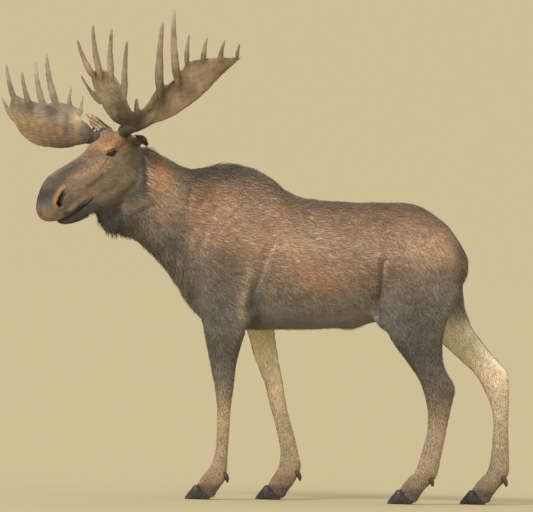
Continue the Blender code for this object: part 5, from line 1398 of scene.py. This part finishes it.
# ------------------------------------------------------------------ eyes and hooves
def make_eye(label, side, material):
    """A moist dark eye: wide pupil, brown iris, a low cornea bulge."""
    gaze = unit(side * HEAD_L + 0.22 * HEAD_F + 0.02 * HEAD_U)
    bpy.ops.mesh.primitive_uv_sphere_add(segments=72, ring_count=48, radius=EYE_RADIUS * 0.985)
    thing = bpy.context.object
    thing.name = "eyeball_" + label
    mesh = thing.data
    mesh.name = thing.name
    mesh.transform(Vector((0, 0, 1)).rotation_difference(Vector(gaze)).to_matrix().to_4x4())
    points = arrays_of(mesh)[0]
    level = unit(HEAD_F - gaze * np.dot(HEAD_F, gaze))
    a, b = points @ level, points @ np.cross(gaze, level)
    front = points @ gaze > 0
    from_axis = np.hypot(a, b)
    points = points + (0.0012 * step(from_axis, 0.0165, 0.006) * front)[:, None] * gaze
    iris = step(from_axis, IRIS_RADIUS, 0.015) * front
    pupil = step(np.hypot(a / PUPIL_HALF[0], b / PUPIL_HALF[1]), 1.12, 0.92) * front
    spokes = 0.5 + 0.5 * np.sin(np.arctan2(b, a) * 31 + 3 * ripple(points, 0.01, 95))
    tone = np.zeros(points.shape) + (58, 42, 34)
    for weight, shade in ((iris, (58, 36, 22)), (iris * spokes * 0.35, (88, 56, 32)),
                          (bell_curve(from_axis - 0.016, 0.0012) * front, (22, 15, 11)),
                          (pupil, (6, 6, 8))):
        tone = mixed(tone, weight, shade)
    paint(mesh, "Tone", tone)
    place_points(mesh, points + head_point(EYE_AT[0], EYE_AT[1], side * EYE_AT[2]) + SHIFT)
    settled(thing, material, "eye", "eye_" + label)


# x from the heel, half-width, height, shift inwards
CLAW = [(0.0, 0.015, 0.02, 0.0), (0.014, 0.0215, 0.032, 0.0), (0.044, 0.0265, 0.058, 0.0),
        (0.076, 0.0265, 0.084, 0.0), (0.088, 0.025, 0.082, 0.0), (0.112, 0.02, 0.055, 0.0015),
        (0.132, 0.0135, 0.03, 0.0035), (CLAW_LENGTH, 0.006, 0.011, 0.0065)]


def make_claw(name, toe, y, way, material):
    """One claw: rounded wall, flat sole, growth rings that run with the coronet, a worn edge."""
    a = np.linspace(0.0, math.pi, 27)
    arc = np.column_stack([np.sign(np.cos(a)) * np.abs(np.cos(a)) ** 0.72, np.abs(np.sin(a)) ** 0.8])
    arc[0], arc[-1] = (0.96, 0.0), (-0.96, 0.0)
    sole = np.column_stack([np.linspace(-0.85, 0.85, 9), np.zeros(9)])
    across, height = np.concatenate([arc, sole]).T
    rings = []
    for x, half, high, shift in smooth_rows([(r[0], 0, 0) + r[1:] for r in CLAW], 44)[:, [0, 3, 4, 5]]:
        sideways = -way * (shift + half * across)
        rings.append(np.column_stack([np.full(len(across), -x), sideways, high * height]))
    solid = Solid()
    closed_loft(solid, rings)
    mesh = solid.mesh(name)
    thing = make_object(name, mesh)
    points, normals = arrays_of(mesh)
    grown_by = points[:, 0] * 0.62 + points[:, 2] * 0.9
    wall = step(points[:, 2], 0.003, 0.01) * step(normals[:, 2], -0.7, -0.3)
    ridges = np.sin(grown_by * 2 * math.pi / 0.0085 + 1.5 * ripple(points, 0.05, 97)) * 0.00045
    points = points + (ridges * wall)[:, None] * normals
    points[:, 2] = np.maximum(points[:, 2], 0.0)
    tone = np.zeros(points.shape) + (46, 38, 34)
    tone = tone * (1 + 0.16 * np.sin(grown_by * 2 * math.pi / 0.019) * wall)[:, None]
    tone = mixed(tone, 0.55 * step(points[:, 2], 0.016, 0.002), (92, 78, 64))
    tone = mixed(tone, 0.5 * step(points[:, 0], -0.115, -0.14), (84, 71, 58))
    paint(mesh, "Tone", tone * (1 + 0.1 * ripple(points, 0.02, 98))[:, None])
    place_points(mesh, points + SHIFT + (toe + CLAW_LENGTH, y + way * CLAW_APART, 0.0))
    settled(thing, material, "hoof", name.replace("hoof", "claw"))


# forward, up and radius, from the fetlock to the tip
DEWCLAW = [(-0.016, 0.016, 0.011), (0.001, -0.001, 0.015), (0.01, -0.021, 0.0125), (0.012, -0.035, 0.008),
           (0.011, -0.042, 0.004)]


def make_dewclaw(name, x, y, z, material):
    solid = Solid()
    tube(solid, [(x + back, y, z + up, radius) for back, up, radius in DEWCLAW], 20, 22)
    mesh = solid.mesh(name)
    thing = make_object(name, mesh)
    points, normals = arrays_of(mesh)
    rings = np.sin((points[:, 2] - z) * 2 * math.pi / 0.0075)
    uneven = 1 + 0.15 * rings + 0.1 * ripple(points, 0.02, 99)
    tone = (np.zeros(points.shape) + (70, 59, 50)) * uneven[:, None]
    paint(mesh, "Tone", mixed(tone, 0.5 * step(points[:, 2], z - 0.03, z - 0.042), (98, 83, 67)))
    place_points(mesh, points + (0.0003 * rings)[:, None] * normals + SHIFT)
    settled(thing, material, "hoof", name.replace("spur", "dewclaw"))


# ------------------------------------------------------------------ materials
class Finish:
    """A node material built on one Principled shader."""

    def __init__(self, name, roughness, specular, **others):
        self.material = bpy.data.materials.new(name)
        self.material.use_nodes = True
        self.tree = self.material.node_tree
        self.shader = self.tree.nodes["Principled BSDF"].inputs
        self.shader["Roughness"].default_value = roughness
        self.shader["Specular IOR Level"].default_value = specular
        for key, value in others.items():
            self.shader[key.replace("_", " ").title()].default_value = value

    def node(self, kind, **settings):
        made = self.tree.nodes.new(kind)
        for key, value in settings.items():
            setattr(made, key, value)
        return made

    def link(self, a, b):
        self.tree.links.new(a, b)

    def attribute(self, name, output="Color"):
        return self.node("ShaderNodeAttribute", attribute_name=name).outputs[output]

    def noise(self, scale, detail, stretch=(1, 1, 1), roughness=0.55):
        mapping = self.node("ShaderNodeMapping")
        mapping.inputs["Scale"].default_value = stretch
        self.link(self.node("ShaderNodeTexCoord").outputs["Object"], mapping.inputs["Vector"])
        made = self.node("ShaderNodeTexNoise").inputs
        for key, number in (("Scale", scale), ("Detail", detail), ("Roughness", roughness)):
            made[key].default_value = number
        self.link(mapping.outputs["Vector"], made["Vector"])
        return made["Vector"].node.outputs["Fac"]

    def ramp(self, value, low, high, to_low, to_high):
        made = self.node("ShaderNodeMapRange")
        for key, number in (("From Min", low), ("From Max", high), ("To Min", to_low), ("To Max", to_high)):
            made.inputs[key].default_value = number
        self.link(value, made.inputs["Value"])
        return made.outputs["Result"]

    def maths(self, operation, a, b):
        made = self.node("ShaderNodeMath", operation=operation)
        for k, value in enumerate((a, b)):
            if isinstance(value, (int, float)):
                made.inputs[k].default_value = value
            else:
                self.link(value, made.inputs[k])
        return made.outputs[0]

    def weighed(self, a, weight, b, other):
        """a and b added up, each times its weight."""
        return self.maths("ADD", self.maths("MULTIPLY", a, weight), self.maths("MULTIPLY", b, other))

    def scaled(self, colour, by):
        made = self.node("ShaderNodeVectorMath", operation="SCALE")
        self.link(colour, made.inputs[0])
        self.link(by, made.inputs["Scale"])
        return made.outputs[0]

    def colour(self, colour, by):
        self.link(self.scaled(colour, by), self.shader["Base Color"])

    def roughness(self, value, low, high, to_low, to_high):
        self.link(self.ramp(value, low, high, to_low, to_high), self.shader["Roughness"])

    def bump(self, height, strength, distance):
        made = self.node("ShaderNodeBump")
        made.inputs["Strength"].default_value = strength
        made.inputs["Distance"].default_value = distance
        self.link(height, made.inputs["Height"])
        self.link(made.outputs["Normal"], self.shader["Normal"])


def coat_finish():
    f = Finish("coat_hair", 0.62, 0.22, sheen_weight=0.06, sheen_roughness=0.5)
    f.colour(f.attribute("Coat"), f.ramp(f.noise(170, 2.0), 0.3, 0.7, 0.86, 1.12))
    return f.material


def skin_finish():
    """Short flat hair as streaks along the body and down the legs; bare skin on the nose and the lids."""
    f = Finish("skin_hair", 0.7, 0.2)
    tone, bare, down = f.attribute("Coat"), f.attribute("Bare", "Fac"), f.attribute("Down", "Fac")
    along = f.noise(90, 5.0, (0.16, 1.3, 1.3))
    fall = f.noise(90, 5.0, (1.3, 1.3, 0.16))
    streak = f.weighed(along, f.maths("SUBTRACT", 1.0, down), fall, down)
    furry = f.weighed(streak, 0.8, f.noise(420, 3.0), 0.2)
    f.colour(tone, f.ramp(furry, 0.3, 0.7, 0.78, 1.16))
    f.roughness(bare, 0.0, 1.0, 0.72, 0.34)
    f.bump(furry, 0.55, 0.004)
    return f.material


def antler_finish():
    """Streaked and stained bone with fine pores."""
    f = Finish("antler_bone", 0.55, 0.35)
    streak = f.noise(24, 5.0, (1, 1, 0.6), 0.6)
    stain = f.ramp(f.noise(9, 4.0), 0.38, 0.66, 0.82, 1.12)
    f.colour(f.scaled(f.attribute("Tone"), stain), f.ramp(streak, 0.3, 0.7, 0.9, 1.08))
    f.roughness(streak, 0.3, 0.7, 0.5, 0.68)
    f.bump(f.weighed(streak, 0.75, f.noise(260, 3.0), 0.25), 0.5, 0.0035)
    return f.material


def hoof_finish():
    f = Finish("hoof_horn", 0.42, 0.4)
    fibres = f.noise(120, 4.0, (0.35, 1.4, 0.5))
    f.colour(f.attribute("Tone"), f.ramp(fibres, 0.3, 0.7, 0.8, 1.2))
    f.roughness(fibres, 0.3, 0.7, 0.36, 0.56)
    f.bump(fibres, 0.4, 0.0015)
    return f.material


def eye_finish():
    f = Finish("eye_moist", 0.3, 0.2, coat_weight=0.45, coat_roughness=0.02)
    f.colour(f.attribute("Tone"), f.ramp(f.noise(600, 2.0), 0.3, 0.7, 0.9, 1.1))
    return f.material


# ------------------------------------------------------------------ the stage
PICTURE_WIDTH = 3.091            # metres across the picture at the animal
CAMERA_AWAY = 60.0
SENSOR = 36.0
LEVEL_TILT = math.radians(1.4)   # the ground falls a little to the right
AIM = Vector((0.059, 0.0, 1.415))
SKY = 1.0
SKY_COLOUR = (1.0, 0.98, 0.94)
LIGHTS = (("key", 2.0, 16, (52, 0, -28)), ("fill", 0.4, 60, (60, 0, 150)))   # name, energy, softness, turn
FLOOR_SIZE = 900.0
FLOOR_SEEN = np.array([0.62, 0.515, 0.31])    # its look from the camera, as linear light
SUNLIGHT = [energy * math.cos(math.radians(turn[0])) / math.pi for _, energy, _, turn in LIGHTS]
FLOOR_LIGHT = SKY * SKY_COLOUR[1] + sum(SUNLIGHT)
FLOOR_ALBEDO = FLOOR_SEEN / FLOOR_LIGHT


def make_camera():
    data = bpy.data.cameras.new("camera")
    data.sensor_width = SENSOR
    data.lens = SENSOR * CAMERA_AWAY / PICTURE_WIDTH
    data.clip_start, data.clip_end = 1.0, 1500.0
    camera = bpy.data.objects.new("camera", data)
    bpy.context.scene.collection.objects.link(camera)
    right = Vector((math.cos(LEVEL_TILT), 0, math.sin(LEVEL_TILT)))
    up = Vector((-math.sin(LEVEL_TILT), 0, math.cos(LEVEL_TILT)))
    turn = Matrix((right, up, Vector((0, -1, 0)))).transposed().to_4x4()
    camera.matrix_world = Matrix.Translation(AIM - Vector((0, CAMERA_AWAY, 0))) @ turn
    bpy.context.scene.camera = camera


def make_stage():
    bpy.ops.mesh.primitive_plane_add(size=FLOOR_SIZE)
    floor = bpy.context.object
    floor.name = "floor"
    material = bpy.data.materials.new("floor_pale")
    material.use_nodes = True
    shader = material.node_tree.nodes["Principled BSDF"]
    shader.inputs["Base Color"].default_value = (*FLOOR_ALBEDO, 1.0)
    shader.inputs["Roughness"].default_value = 1.0
    shader.inputs["Specular IOR Level"].default_value = 0.0
    floor.data.materials.append(material)
    world = bpy.data.worlds.new("studio")
    bpy.context.scene.world = world
    world.use_nodes = True
    nodes, links = world.node_tree.nodes, world.node_tree.links
    around = nodes["Background"]
    around.inputs["Color"].default_value = (*SKY_COLOUR, 1.0)
    around.inputs["Strength"].default_value = SKY
    seen = nodes.new("ShaderNodeBackground")  # past the floor's edge the studio looks like more floor
    seen.inputs["Color"].default_value = (*FLOOR_SEEN, 1.0)
    path, either = nodes.new("ShaderNodeLightPath"), nodes.new("ShaderNodeMixShader")
    links.new(path.outputs["Is Camera Ray"], either.inputs[0])
    links.new(around.outputs[0], either.inputs[1])
    links.new(seen.outputs[0], either.inputs[2])
    links.new(either.outputs[0], nodes["World Output"].inputs["Surface"])
    for name, energy, angle, turn in LIGHTS:
        data = bpy.data.lights.new(name, "SUN")
        data.energy = energy
        data.angle = math.radians(angle)
        light = bpy.data.objects.new(name, data)
        light.rotation_euler = [math.radians(v) for v in turn]
        bpy.context.scene.collection.objects.link(light)
    bpy.context.scene.view_settings.view_transform = "Standard"


# ------------------------------------------------------------------ all of it
def main():
    skin, points, normals, bare = make_skin()
    make_coat(points, normals, triangles_of(skin.data), bare, coat_finish())
    place_points(skin.data, points + SHIFT)
    settled(skin, skin_finish(), "body_coat", *FLESH_NODES)
    bone, wet, horn = antler_finish(), eye_finish(), hoof_finish()
    for label, side in (("left", 1), ("right", -1)):
        make_antler(label, side, bone)
        make_eye(label, side, wet)
    for leg, (toe, y) in FEET.items():
        short = leg.replace("leg", "")
        x, z = DEWCLAWS[leg]
        for label, d in (("outer", 1), ("inner", -1)):
            way = math.copysign(1, y) * d
            make_claw(f"hoof_{short}_{label}", toe, y, way, horn)
            make_dewclaw(f"spur_{short}_{label}", x, y + way * DEWCLAW_APART, z, horn)
    make_stage()
    make_camera()


main()
